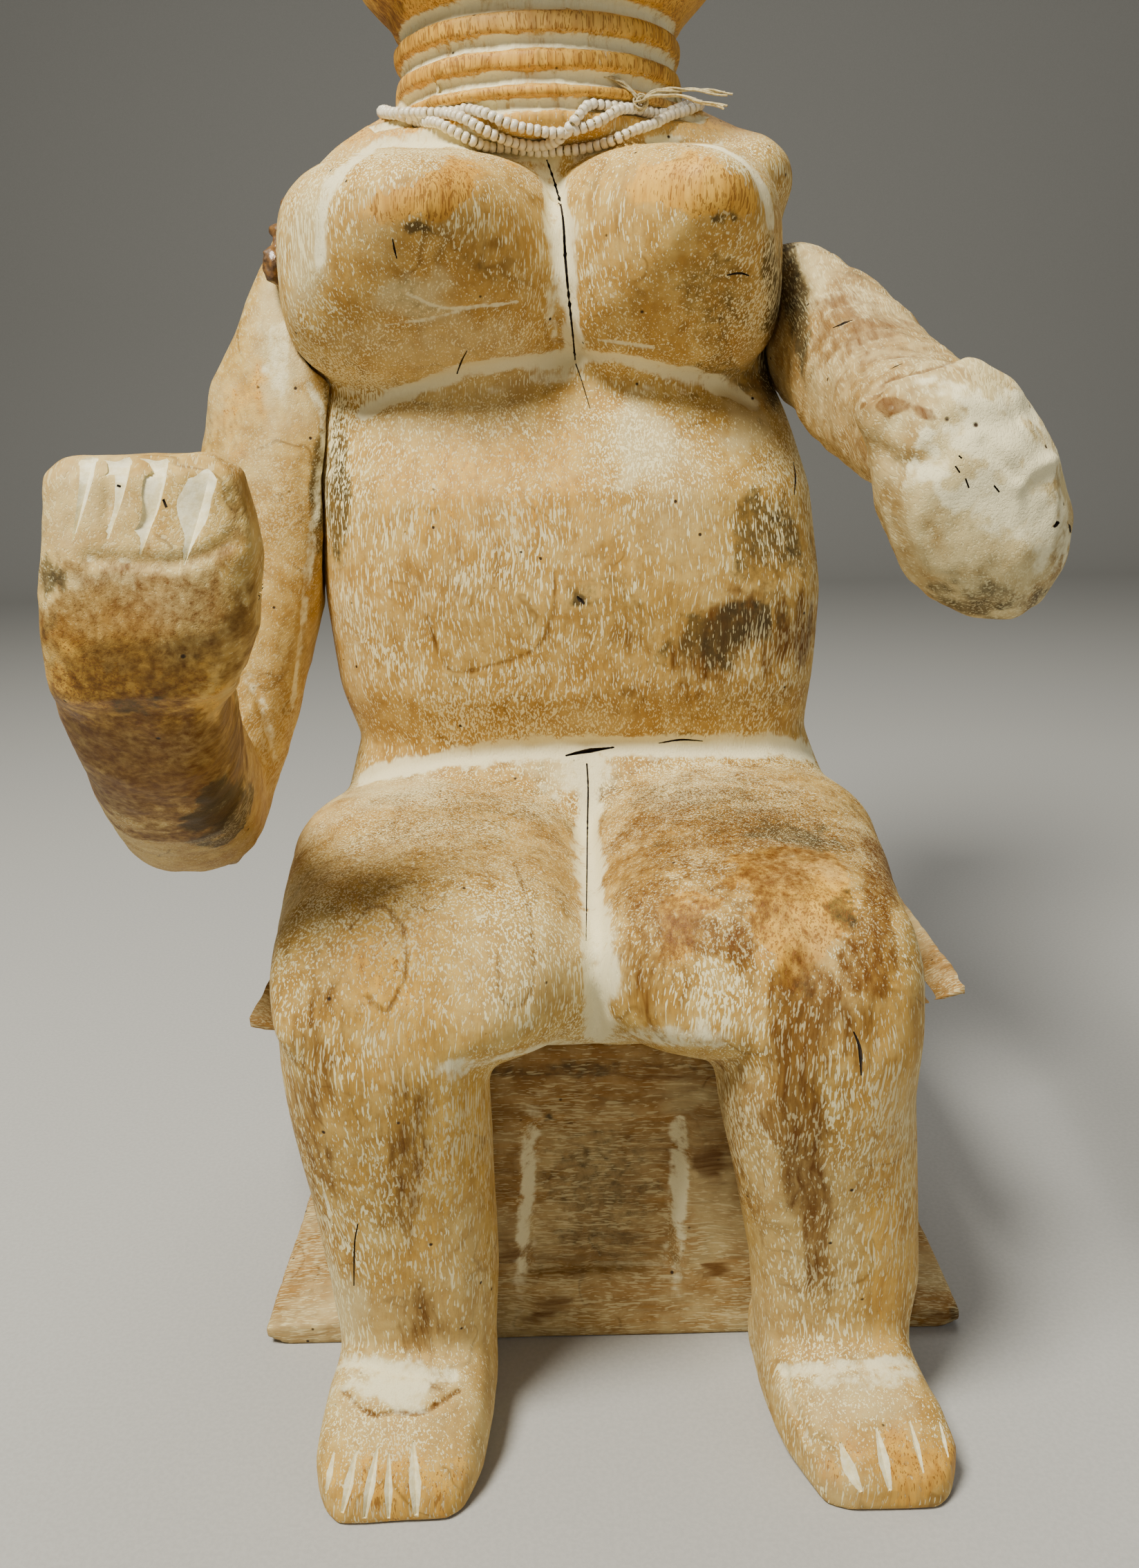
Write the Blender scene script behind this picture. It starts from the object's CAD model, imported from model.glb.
"""The looks of a carved wooden woman on her stool: worn wash, chalk in the cuts, glass beads and thread.

Metres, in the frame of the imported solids. Each piece starts from its solid, is carved finer, cut, and then
painted with soft layers that its material reads: chalk, bare wood, brown stain and grime.
"""

import itertools
import logging
import math
from collections.abc import Callable, Sequence
from dataclasses import dataclass
from enum import Enum

import bmesh
import bpy
import numpy as np
from mathutils import Matrix, Vector
from mathutils.bvhtree import BVHTree

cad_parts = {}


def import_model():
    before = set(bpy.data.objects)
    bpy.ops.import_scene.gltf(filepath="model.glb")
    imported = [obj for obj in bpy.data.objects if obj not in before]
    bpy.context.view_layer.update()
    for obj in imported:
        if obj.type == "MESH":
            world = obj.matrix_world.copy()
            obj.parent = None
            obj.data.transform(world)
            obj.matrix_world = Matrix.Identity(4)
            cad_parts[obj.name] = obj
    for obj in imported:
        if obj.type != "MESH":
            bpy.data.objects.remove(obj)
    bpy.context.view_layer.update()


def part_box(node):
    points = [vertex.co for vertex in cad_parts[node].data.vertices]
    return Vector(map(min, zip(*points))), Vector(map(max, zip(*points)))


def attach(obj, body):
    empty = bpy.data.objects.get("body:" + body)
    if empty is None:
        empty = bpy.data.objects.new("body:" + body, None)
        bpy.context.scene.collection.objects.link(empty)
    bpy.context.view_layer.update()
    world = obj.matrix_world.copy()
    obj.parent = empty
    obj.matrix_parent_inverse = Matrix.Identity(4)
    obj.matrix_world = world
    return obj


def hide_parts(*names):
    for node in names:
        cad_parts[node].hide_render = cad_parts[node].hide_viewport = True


LOG = logging.getLogger("seated_woman")
MM = 0.001
FACE_MIDDLE = -11.0
EAR_RIM = ((32, 417), (45, 418), (49, 408), (46, 396), (38, 388), (34, 392))
Pair = tuple[float, float]
Colour = tuple[float, float, float, float]


class Sight(Enum):
    """Where a line or a cut is drawn from: pixels of the picture, or millimetres seen along an axis."""

    PHOTO = "photo"
    FRONT = "front"
    BACK = "back"
    LEFT = "left"
    RIGHT = "right"


class Layer(Enum):
    """A soft layer of the surface, kept as an attribute of the mesh."""

    CHALK = "chalk"
    BARE = "bare"
    BROWN = "brown"
    GRIME = "grime"
    PALE = "pale"


class Filling(Enum):
    """What shows inside a cut."""

    CHALK = 1
    DARK = 2


class Grain(Enum):
    """The way that a piece's grain runs, as the turn of its pattern in degrees."""

    UPRIGHT = (0.0, 0.0, 0.0)
    SIDEWAYS = (0.0, 90.0, 0.0)
    FOREARM = (62.0, 0.0, 0.0)


def srgb(red: int, green: int, blue: int) -> Colour:
    """Turns a screen colour into a linear one.

    Args:
        red: 0 to 255.
        green: 0 to 255.
        blue: 0 to 255.

    Returns:
        The colour with an alpha of one.
    """
    parts = []
    for value in (red, green, blue):
        share = value / 255
        parts.append(share / 12.92 if share <= 0.04045 else ((share + 0.055) / 1.055) ** 2.4)
    return (*parts, 1.0)


def smooth_step(low: float, high: float, values: np.ndarray) -> np.ndarray:
    """A soft step from 0 at low to 1 at high."""
    share = np.clip((values - low) / (high - low), 0.0, 1.0)
    return share * share * (3.0 - 2.0 * share)


def lumps(points: np.ndarray, size: float | Sequence[float], seed: int) -> np.ndarray:
    """Smooth noise from -1 to 1.

    Args:
        points: Places, one a row.
        size: How far apart its lumps are, for all axes or for each.
        seed: Which noise.

    Returns:
        One value for each place.
    """
    spot = points / np.asarray(size, float) + seed * 17.31
    low = np.floor(spot)
    part = spot - low
    blend = part * part * (3.0 - 2.0 * part)
    total = np.zeros(len(points))
    for corner in itertools.product((0, 1), repeat=3):
        share = np.prod(np.where(corner, blend, 1.0 - blend), axis=1)
        keys = (low + corner) @ np.array((127.1, 311.7, 74.7))
        total += share * (np.modf(np.abs(np.sin(keys)) * 43758.5453)[0] * 2.0 - 1.0)
    return total


def scoops(points: np.ndarray, size: Sequence[float], seed: int) -> np.ndarray:
    """Shallow scoops side by side, as a blade leaves them: 0 in a scoop's middle, 1 on the edges between.

    Args:
        points: Places, one a row.
        size: A scoop's size along each axis.
        seed: Which pattern.

    Returns:
        One value for each place.
    """
    spot = points / np.asarray(size, float) + seed * 9.17
    low = np.floor(spot)
    nearest = np.full(len(points), 9.0)
    for corner in itertools.product((-1, 0, 1), repeat=3):
        cell = low + corner
        away = cell - spot
        for axis, keys in enumerate(((127.1, 311.7, 74.7), (269.5, 183.3, 246.1), (113.5, 271.9, 124.6))):
            away[:, axis] += np.modf(np.abs(np.sin(cell @ np.array(keys))) * 43758.5453)[0]
        nearest = np.minimum(nearest, np.sum(away * away, axis=1))
    return np.clip(nearest, 0.0, 1.0)


def smooth_path(points: Sequence[Sequence[float]], step: float, closed: bool = False) -> np.ndarray:
    """Runs a smooth curve through some points.

    Args:
        points: Its points, in two or three dimensions.
        step: How far apart the points of the curve are.
        closed: Whether it goes round.

    Returns:
        Points at even distances along the curve.
    """
    knots = np.asarray(points, float)
    count = len(knots)
    spans = count if closed else count - 1
    fine = []
    for index in range(spans):
        picked = []
        for shift in (-1, 0, 1, 2):
            spot = index + shift
            picked.append(knots[spot % count] if closed else knots[min(max(spot, 0), count - 1)])
        before, start, end, after = picked
        for share in np.linspace(0.0, 1.0, 24, endpoint=False):
            fine.append(0.5 * (2 * start + (end - before) * share
                               + (2 * before - 5 * start + 4 * end - after) * share**2
                               + (3 * start - before - 3 * end + after) * share**3))
    fine.append(knots[0] if closed else knots[-1])
    line = np.array(fine)
    gone = np.concatenate([[0.0], np.cumsum(np.linalg.norm(np.diff(line, axis=0), axis=1))])
    places = np.linspace(0.0, gone[-1], max(2, round(gone[-1] / step) + 1))
    return np.stack([np.interp(places, gone, line[:, axis]) for axis in range(line.shape[1])], axis=1)


def select_only(obj: bpy.types.Object) -> None:
    """Selects one object and makes it the active one."""
    bpy.ops.object.select_all(action="DESELECT")
    obj.select_set(True)
    bpy.context.view_layer.objects.active = obj


def apply_modifier(obj: bpy.types.Object, kind: str, **settings: object) -> None:
    """Adds a modifier with these settings and applies it.

    Args:
        obj: The object.
        kind: Blender's name of the modifier.
        **settings: Its properties.
    """
    modifier = obj.modifiers.new(kind.lower(), kind)
    for key, value in settings.items():
        setattr(modifier, key, value)
    select_only(obj)
    bpy.ops.object.modifier_apply(modifier=modifier.name)


@dataclass(frozen=True)
class PhotoCamera:
    """The camera of the picture, worked out from the neck rings, the stool's base and the feet.

    Attributes:
        width: The picture's width in pixels.
        height: Its height in pixels.
        focal: The focal length in pixels.
        pitch: How far it looks down, in degrees.
        roll: How far it leans, in degrees.
        place: Where it stands.
        sensor: The width of the scene camera's sensor, in millimetres.
    """

    width: int = 1648
    height: int = 2268
    focal: float = 1800.0
    pitch: float = 15.5
    roll: float = 1.5
    place: tuple[float, float, float] = (-0.008, -0.345, 0.235)
    sensor: float = 36.0

    def axes(self) -> np.ndarray:
        """The directions to its right, up and forward, one a row."""
        pitch = math.radians(self.pitch)
        c = math.cos(math.radians(self.roll))
        s = math.sin(math.radians(self.roll))
        rise = (math.sin(pitch), math.cos(pitch))
        forward = (0.0, math.cos(pitch), -math.sin(pitch))
        return np.array(((c, -s * rise[0], -s * rise[1]), (s, c * rise[0], c * rise[1]), forward))

    def pixels(self, points: np.ndarray) -> np.ndarray:
        """The picture's pixels of some places, with each one's distance ahead of the camera."""
        seen = (points - np.array(self.place)) @ self.axes().T
        across = seen[:, 0] / seen[:, 2] * self.focal + self.width / 2
        down = self.height / 2 - seen[:, 1] / seen[:, 2] * self.focal
        return np.stack((across, down, seen[:, 2]), axis=1)

    def ray(self, pixel: Pair) -> tuple[Vector, Vector]:
        """Where the line of sight of a pixel starts and which way it goes."""
        right, up, forward = self.axes()
        across = (pixel[0] - self.width / 2) / self.focal
        rise = (self.height / 2 - pixel[1]) / self.focal
        return Vector(self.place), Vector(forward + across * right + rise * up).normalized()

    def add(self) -> None:
        """Makes the scene's camera."""
        data = bpy.data.cameras.new("camera")
        data.sensor_fit = "AUTO"
        data.sensor_width = self.sensor
        data.lens = self.focal / self.height * self.sensor
        data.clip_start = 0.01
        obj = bpy.data.objects.new("camera", data)
        bpy.context.scene.collection.objects.link(obj)
        right, up, forward = self.axes()
        turn = Matrix(np.stack((right, up, -forward), axis=1).tolist()).to_4x4()
        obj.matrix_world = Matrix.Translation(self.place) @ turn
        bpy.context.scene.camera = obj


@dataclass(frozen=True)
class Line:
    """A dip or a ridge along a line, with what it is filled with.

    Attributes:
        points: Where it runs, in pixels or, for the other sights, in millimetres.
        width: The dip's width in millimetres.
        depth: Its depth in millimetres, below zero for a ridge.
        chalk: How full of chalk, or of another layer, it is.
        reach: How far that spreads to each side, in millimetres.
        layer: The layer that it paints.
        sight: Where it is drawn from.
    """

    points: tuple[Pair, ...]
    width: float = 3.0
    depth: float = 0.6
    chalk: float = 0.0
    reach: float = 2.5
    layer: Layer = Layer.CHALK
    sight: Sight = Sight.PHOTO


@dataclass(frozen=True)
class Patch:
    """A stain, a worn place or a patch of wash, as the picture shows it.

    Attributes:
        layer: The layer that it paints.
        centre: Its middle in pixels.
        half: Its half width and half height in pixels.
        strength: How strong it is.
        turn: Its turn in degrees, clockwise.
        soft: How soft its edge is, as a share of its size.
        ragged: How ragged its edge is.
        streak: How much longer than wide its rags are.
    """

    layer: Layer
    centre: Pair
    half: Pair
    strength: float = 1.0
    turn: float = 0.0
    soft: float = 0.35
    ragged: float = 0.35
    streak: float = 1.6


@dataclass(frozen=True)
class Cut:
    """A narrow V cut.

    Attributes:
        points: Where it runs.
        widths: Its width at its start, middle and end, in millimetres.
        depth: Its depth in millimetres.
        filling: What shows in it.
        lead: A step in millimetres from its first point, back over an edge.
        sight: Where it is drawn from.
    """

    points: tuple[Pair, ...]
    widths: tuple[float, float, float]
    depth: float
    filling: Filling = Filling.CHALK
    lead: tuple[float, float, float] | None = None
    sight: Sight = Sight.PHOTO


def patch_table(rows: dict[Layer, Sequence[tuple[float, ...]]]) -> tuple[Patch, ...]:
    """Reads patches from rows of numbers.

    Args:
        rows: For each layer, rows of the middle's pixels, the half width and half height, and then the
            strength, turn, softness, raggedness and streak.

    Returns:
        The patches.
    """
    return tuple(Patch(layer, row[:2], row[2:4], *row[4:]) for layer, table in rows.items() for row in table)


def both_eyes(points: Sequence[Pair], width: float, depth: float, chalk: float, reach: float) -> list[Line]:
    """Draws a line at her right eye and its twin at her left one.

    Args:
        points: Where the line runs at her right eye, in millimetres seen from the front.
        width: The dip's width in millimetres.
        depth: Its depth in millimetres.
        chalk: How full of chalk it is.
        reach: How far the chalk spreads to each side, in millimetres.

    Returns:
        Both lines.
    """
    twin = [(2 * FACE_MIDDLE - across, level) for across, level in reversed(points)]
    return [Line(tuple(run), width, depth, chalk, reach, sight=Sight.FRONT) for run in (points, twin)]


def path_distance(points: np.ndarray, normals: np.ndarray, path: np.ndarray, reach: float) -> np.ndarray:
    """How far each point lies from a path, measured along the surface.

    Args:
        points: Places on the surface.
        normals: The surface's normals there.
        path: The path's points.
        reach: How far it looks.

    Returns:
        Distances, with a large number where the path is out of reach.
    """
    best = np.full(len(points), 1.0)
    inside = np.all((points > path.min(axis=0) - reach) & (points < path.max(axis=0) + reach), axis=1)
    near = points[inside]
    facing = normals[inside]
    found = np.full(len(near), 1.0)
    for start, end in zip(path, path[1:]):
        run = end - start
        share = np.clip((near - start) @ run / max(run @ run, 1e-12), 0.0, 1.0)
        gap = near - (start + share[:, None] * run)
        sunk = np.sum(gap * facing, axis=1)
        flat = np.linalg.norm(gap - sunk[:, None] * facing, axis=1)
        found = np.minimum(found, np.where(np.abs(sunk) < reach, flat, 1.0))
    best[inside] = found
    return best


class Skin:
    """The surface of one piece while it is carved, cut and painted."""

    def __init__(self, node: str, name: str, camera: PhotoCamera) -> None:
        """Copies a solid of the frame, and closes its loose faces.

        Args:
            node: The solid's name.
            name: The name of the piece that will stand for it.
            camera: The picture's camera.
        """
        self.node = node
        self.camera = camera
        self.obj = bpy.data.objects.new(name, bpy.data.objects[node].data.copy())
        self.obj.data.name = name
        bpy.context.scene.collection.objects.link(self.obj)
        select_only(self.obj)
        bpy.ops.object.mode_set(mode="EDIT")
        bpy.ops.mesh.select_all(action="SELECT")
        bpy.ops.mesh.remove_doubles(threshold=1e-6)
        bpy.ops.object.mode_set(mode="OBJECT")
        self.obj.data.materials.clear()
        self.tree: BVHTree | None = None
        self.painted: dict[Layer, np.ndarray] = {}

    def remesh(self, grain: float) -> None:
        """Gives the surface even faces of about this size."""
        apply_modifier(self.obj, "REMESH", mode="VOXEL", voxel_size=grain)

    def rub(self, rounds: int, weight: Callable[[np.ndarray], np.ndarray] | None = None) -> None:
        """Rubs the surface smooth.

        Args:
            rounds: How many times.
            weight: How much of it each place takes, from 0 to 1.
        """
        settings: dict[str, object] = {"factor": 0.5, "iterations": rounds}
        if weight is not None:
            group = self.obj.vertex_groups.new(name="rub")
            shares = weight(self.points())
            levels = np.round(shares * 10).astype(int)
            for level in range(1, 11):
                group.add(np.flatnonzero(levels == level).tolist(), level / 10, "REPLACE")
            settings["vertex_group"] = "rub"
        apply_modifier(self.obj, "SMOOTH", **settings)
        self.obj.vertex_groups.clear()

    def thin(self, triangles: int) -> None:
        """Leaves about this many triangles, most of them where the surface bends."""
        now = sum(len(face.vertices) - 2 for face in self.obj.data.polygons)
        if now > triangles:
            apply_modifier(self.obj, "DECIMATE", ratio=triangles / now)
        self.tree = None

    def points(self) -> np.ndarray:
        """The places of its vertices."""
        found = np.empty(len(self.obj.data.vertices) * 3, np.float32)
        self.obj.data.vertices.foreach_get("co", found)
        return found.reshape(-1, 3).astype(float)

    def normals(self) -> np.ndarray:
        """The normals of its vertices."""
        found = np.empty(len(self.obj.data.vertices) * 3, np.float32)
        self.obj.data.vertex_normals.foreach_get("vector", found)
        return found.reshape(-1, 3).astype(float)

    def hit(self, sight: Sight, spot: Pair) -> Vector | None:
        """The place on the surface that a line of sight meets first.

        Args:
            sight: Where it is seen from.
            spot: The pixel, or the millimetres along the two axes that the sight shows.

        Returns:
            The place, or None where it meets nothing.
        """
        if self.tree is None:
            self.tree = BVHTree.FromObject(self.obj, bpy.context.evaluated_depsgraph_get())
        u, v = spot
        if sight is Sight.PHOTO:
            start, way = self.camera.ray(spot)
        elif sight in (Sight.FRONT, Sight.BACK):
            side = -1 if sight is Sight.FRONT else 1
            start, way = Vector((u * MM, side, v * MM)), Vector((0, -side, 0))
        else:
            side = 1 if sight is Sight.LEFT else -1
            start, way = Vector((side, u * MM, v * MM)), Vector((-side, 0, 0))
        return self.tree.ray_cast(start, way)[0]

    def path(self, sight: Sight, spots: Sequence[Pair]) -> np.ndarray:
        """The places on the surface along a smooth line drawn from a sight."""
        step = 6.0 if sight is Sight.PHOTO else 1.0
        found = [self.hit(sight, tuple(spot)) for spot in smooth_path(spots, step)]
        return np.array([place for place in found if place is not None]).reshape(-1, 3)

    def lines(self, lines: Sequence[Line]) -> list[tuple[Line, np.ndarray]]:
        """Lays lines on the surface.

        Args:
            lines: The lines.

        Returns:
            Each line that meets the surface, with its places.
        """
        laid = [(line, self.path(line.sight, line.points)) for line in lines]
        return [(line, path) for line, path in laid if len(path) > 1]

    def push(self, amount: np.ndarray) -> None:
        """Moves each vertex outwards by its amount in metres."""
        moved = self.points() + self.normals() * amount[:, None]
        self.obj.data.vertices.foreach_set("co", moved.astype(np.float32).ravel())
        self.obj.data.update()
        self.tree = None

    def carve(self, laid: Sequence[tuple[Line, np.ndarray]]) -> None:
        """Carves the dips and ridges of lines that are laid on the surface."""
        points = self.points()
        normals = self.normals()
        amount = np.zeros(len(points))
        for line, path in laid:
            if line.depth:
                width = line.width * MM
                away = path_distance(points, normals, path, width + 2 * MM)
                wobble = 1.0 + 0.25 * lumps(points, 4 * MM, 5)
                amount -= line.depth * MM * np.exp(-((away / (width / 2)) ** 2)) * wobble
        self.push(amount)

    def scoop(self, size: Sequence[float], depth: float, seed: int) -> None:
        """Cuts shallow scoops side by side, the marks of the knife.

        Args:
            size: A scoop's size along each axis, in metres.
            depth: How deep a scoop is, in metres.
            seed: Which pattern.
        """
        self.push((scoops(self.points(), size, seed) - 0.5) * depth)

    def roughen(self, size: Sequence[float], height: float, seed: int) -> None:
        """Gives the surface the unevenness that a knife leaves.

        Args:
            size: How far apart its swells are along each axis, in metres.
            height: Their height in metres.
            seed: Which noise.
        """
        self.push(lumps(self.points(), size, seed) * height)

    def blades(self, cuts: Sequence[Cut], filling: Filling) -> bpy.types.Object | None:
        """Makes the blades of all cuts with one filling, joined to one clean cutter.

        Args:
            cuts: The piece's cuts.
            filling: Which of them.

        Returns:
            The cutter, or None where there is no such cut.
        """
        cutter = None
        for cut in cuts:
            path = self.path(cut.sight, cut.points) if cut.filling is filling else ()
            if len(path) < 2:
                continue
            path = smooth_path(path, 1.2 * MM)
            if cut.lead is not None:
                path = np.vstack((path[0] + np.array(cut.lead) * MM, path))
            blade = self.blade(cut, path)
            if cutter is None:
                cutter = blade
                continue
            apply_modifier(cutter, "BOOLEAN", object=blade, operation="UNION", use_self=True)
            bpy.data.objects.remove(blade)
        return cutter

    def blade(self, cut: Cut, path: np.ndarray) -> bpy.types.Object:
        """Makes one V blade along a path on the surface.

        Args:
            cut: Its widths and depth.
            path: Where it runs.

        Returns:
            The blade.
        """
        bm = bmesh.new()
        loops = []
        last = len(path) - 1
        depth = cut.depth * MM
        proud = 1.2 * MM
        steady = self.tree.find_nearest(Vector(path[(last + 1) // 2]))[1]
        for index, place in enumerate(path):
            spot = Vector(place)
            out = steady if cut.lead else self.tree.find_nearest(spot)[1]
            along = Vector(path[min(index + 1, last)] - path[max(index - 1, 0)]).normalized()
            side = along.cross(out).normalized()
            wide = float(np.interp(index / last, (0.0, 0.5, 1.0), cut.widths)) / 2 * MM
            deep = depth * min(1.0, 0.25 + wide / (max(cut.widths) * MM))
            ledge = spot + out * proud
            grown = wide * (1 + proud / deep)
            corners = (ledge + side * grown, ledge - side * grown, spot - out * deep)
            loops.append([bm.verts.new(corner) for corner in corners])
        for first, second in zip(loops, loops[1:]):
            for corner in range(3):
                after = (corner + 1) % 3
                bm.faces.new((first[corner], first[after], second[after], second[corner]))
        bm.faces.new(list(reversed(loops[0])))
        bm.faces.new(loops[-1])
        bmesh.ops.recalc_face_normals(bm, faces=bm.faces)
        data = bpy.data.meshes.new("blade")
        bm.to_mesh(data)
        bm.free()
        made = bpy.data.objects.new("blade", data)
        bpy.context.scene.collection.objects.link(made)
        return made

    def cut(self, cuts: Sequence[Cut], fillings: dict[Filling, bpy.types.Material]) -> None:
        """Cuts all cuts out of the piece, each showing its filling.

        Args:
            cuts: The piece's cuts.
            fillings: The material of each filling.
        """
        for filling, finish in fillings.items():
            cutter = self.blades(cuts, filling)
            if cutter is None:
                continue
            cutter.data.materials.clear()
            cutter.data.materials.append(finish)
            before = self.obj.data.copy()
            apply_modifier(self.obj, "BOOLEAN", object=cutter, operation="DIFFERENCE",
                           material_mode="TRANSFER")
            bpy.data.objects.remove(cutter)
            LOG.info("%s: %s cuts, %d vertices, then %d", self.obj.name, filling.name.lower(),
                     len(before.vertices), len(self.obj.data.vertices))
            if len(self.obj.data.vertices) < 0.9 * len(before.vertices):
                LOG.warning("the cut failed and is left out")
                self.obj.data = before
            self.tree = None

    def paint(self, layer: Layer, amount: np.ndarray) -> None:
        """Adds to a layer, which keeps the stronger of the old and the new."""
        old = self.painted.get(layer, np.zeros(len(amount)))
        self.painted[layer] = np.maximum(old, np.clip(amount, 0.0, 1.0))

    def paint_lines(self, laid: Sequence[tuple[Line, np.ndarray]]) -> None:
        """Fills the lines that are laid on the surface with their layer."""
        points = self.points()
        normals = self.normals()
        for line, path in laid:
            if line.chalk:
                reach = line.reach * MM
                away = path_distance(points, normals, path, reach * 2 + 2 * MM)
                edge = reach * (1.0 + 0.45 * lumps(points, (2.5 * MM, 2.5 * MM, 5 * MM), 9))
                edge *= 1.0 + 0.4 * lumps(points, (9 * MM, 9 * MM, 14 * MM), 10)
                self.paint(line.layer, line.chalk * (1.0 - smooth_step(0.25, 1.0, away / edge)))

    def paint_patches(self, patches: Sequence[Patch]) -> None:
        """Paints stains and worn places where the picture shows them."""
        points = self.points()
        normals = self.normals()
        seen = self.camera.pixels(points)
        facing = np.sum(normals * (np.array(self.camera.place) - points), axis=1) > 0
        for patch in patches:
            middle = self.hit(Sight.PHOTO, patch.centre)
            if middle is None:
                continue
            size = max(patch.half) * seen[:, 2] / self.camera.focal
            near = facing & (np.linalg.norm(points - np.array(middle), axis=1) < size * 1.6 + 8 * MM)
            spots = points[near]
            turn = math.radians(patch.turn)
            u, v = (seen[near, :2] - patch.centre).T
            seed = int(sum(patch.centre)) % 97
            bend = 0.32 * patch.half[0] * lumps(spots, 11 * MM, seed + 2)
            along = ((u + bend) * math.cos(turn) + v * math.sin(turn)) / patch.half[0]
            athwart = (v * math.cos(turn) - (u + bend) * math.sin(turn)) / patch.half[1]
            rag = lumps(spots, (5 * MM, 5 * MM, 5 * MM * patch.streak), seed)
            rag += 0.6 * lumps(spots, (1.6 * MM, 1.6 * MM, 1.6 * MM * patch.streak), seed + 1)
            away = np.hypot(along, athwart) + patch.ragged * 1.25 * rag
            mask = 1.0 - smooth_step(1.0 - patch.soft, 1.0 + patch.soft * 0.5, away)
            amount = np.zeros(len(points))
            amount[near] = mask * patch.strength
            self.paint(patch.layer, amount)

    def hollows(self, rounds: int) -> np.ndarray:
        """How deep each vertex lies in a hollow of the surface, in metres."""
        points = self.points()
        mesh = self.obj.data
        edges = np.empty(len(mesh.edges) * 2, np.int32)
        mesh.edges.foreach_get("vertices", edges)
        first, second = edges.reshape(-1, 2).T
        count = len(points)
        shares = np.bincount(first, minlength=count) + np.bincount(second, minlength=count)
        spread = points.copy()
        for _ in range(rounds):
            total = np.zeros_like(spread)
            for axis in range(3):
                total[:, axis] = np.bincount(first, spread[second, axis], count)
                total[:, axis] += np.bincount(second, spread[first, axis], count)
            spread = total / np.maximum(shares, 1)[:, None]
        return np.sum((spread - points) * self.normals(), axis=1)

    def settle_layers(self) -> None:
        """Writes the painted layers to the mesh, for its material to read."""
        for layer in Layer:
            made = self.obj.data.attributes.new(layer.value, "FLOAT", "POINT")
            blank = np.zeros(len(self.obj.data.vertices))
            made.data.foreach_set("value", self.painted.get(layer, blank).astype(np.float32))

    def finish(self, slot: str) -> bpy.types.Object:
        """Shades the piece smooth and puts it in its solid's place.

        Args:
            slot: The material slot of the record.

        Returns:
            The piece.
        """
        self.settle_layers()
        select_only(self.obj)
        bpy.ops.object.shade_smooth_by_angle(angle=math.radians(48))
        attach(self.obj, "root")
        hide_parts(self.node)
        LOG.info("piece %s, %d faces", self.obj.name, len(self.obj.data.polygons))
        return self.obj


class Sheet:
    """A short way to write a node tree."""

    def __init__(self, tree: bpy.types.NodeTree) -> None:
        """Keeps the tree that the nodes go in."""
        self.tree = tree

    def node(self, kind: str, inputs: dict[object, object] | None = None, **settings: object) -> bpy.types.Node:
        """Adds a node.

        Args:
            kind: Its type, without the leading ShaderNode.
            inputs: Values or sockets for its inputs, by name or number.
            **settings: Its properties.

        Returns:
            The node.
        """
        made = self.tree.nodes.new("ShaderNode" + kind)
        for key, value in settings.items():
            setattr(made, key, value)
        for key, value in (inputs or {}).items():
            if isinstance(value, bpy.types.NodeSocket):
                self.tree.links.new(value, made.inputs[key])
            else:
                made.inputs[key].default_value = value
        return made

    def math(self, operation: str, *values: object, clamp: bool = False) -> bpy.types.NodeSocket:
        """A Math node's result."""
        inputs = dict(enumerate(values))
        return self.node("Math", inputs, operation=operation, use_clamp=clamp).outputs[0]

    def mix(self, factor: object, first: object, second: object, blend: str = "MIX") -> bpy.types.NodeSocket:
        """A colour mixed from two."""
        made = self.node("Mix", {0: factor, 6: first, 7: second}, data_type="RGBA", blend_type=blend)
        return made.outputs[2]

    def step(self, value: object, low: float, high: float) -> bpy.types.NodeSocket:
        """A soft step of a value, from 0 at low to 1 at high."""
        inputs = {"Value": value, "From Min": low, "From Max": high}
        return self.node("MapRange", inputs, interpolation_type="SMOOTHSTEP").outputs[0]

    def noise(self, vector: object, scale: float, detail: float = 2.0,
              rough: float = 0.5) -> bpy.types.NodeSocket:
        """A Noise texture's value."""
        inputs = {"Vector": vector, "Scale": scale, "Detail": detail, "Roughness": rough}
        return self.node("TexNoise", inputs).outputs[0]

    def stretch(self, vector: object, scale: Sequence[float], turn: Sequence[float] = (0, 0, 0)) -> object:
        """A vector, turned and stretched."""
        angles = [math.radians(value) for value in turn]
        return self.node("Mapping", {"Vector": vector, "Rotation": angles, "Scale": list(scale)}).outputs[0]

    def attribute(self, layer: Layer) -> bpy.types.NodeSocket:
        """A painted layer of the piece."""
        return self.node("Attribute", attribute_name=layer.value).outputs["Fac"]


def new_group(name: str, inputs: Sequence[tuple[str, str]], outputs: Sequence[tuple[str, str]]) -> tuple:
    """Starts a node group.

    Args:
        name: Its name.
        inputs: The name and socket type of each input.
        outputs: The same of each output.

    Returns:
        The group, its sheet, its input node and its output node.
    """
    tree = bpy.data.node_groups.new(name, "ShaderNodeTree")
    for way, sockets in (("INPUT", inputs), ("OUTPUT", outputs)):
        for label, kind in sockets:
            tree.interface.new_socket(label, in_out=way, socket_type="NodeSocket" + kind)
    sheet = Sheet(tree)
    start = tree.nodes.new("NodeGroupInput")
    end = tree.nodes.new("NodeGroupOutput")
    return tree, sheet, start, end


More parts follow.
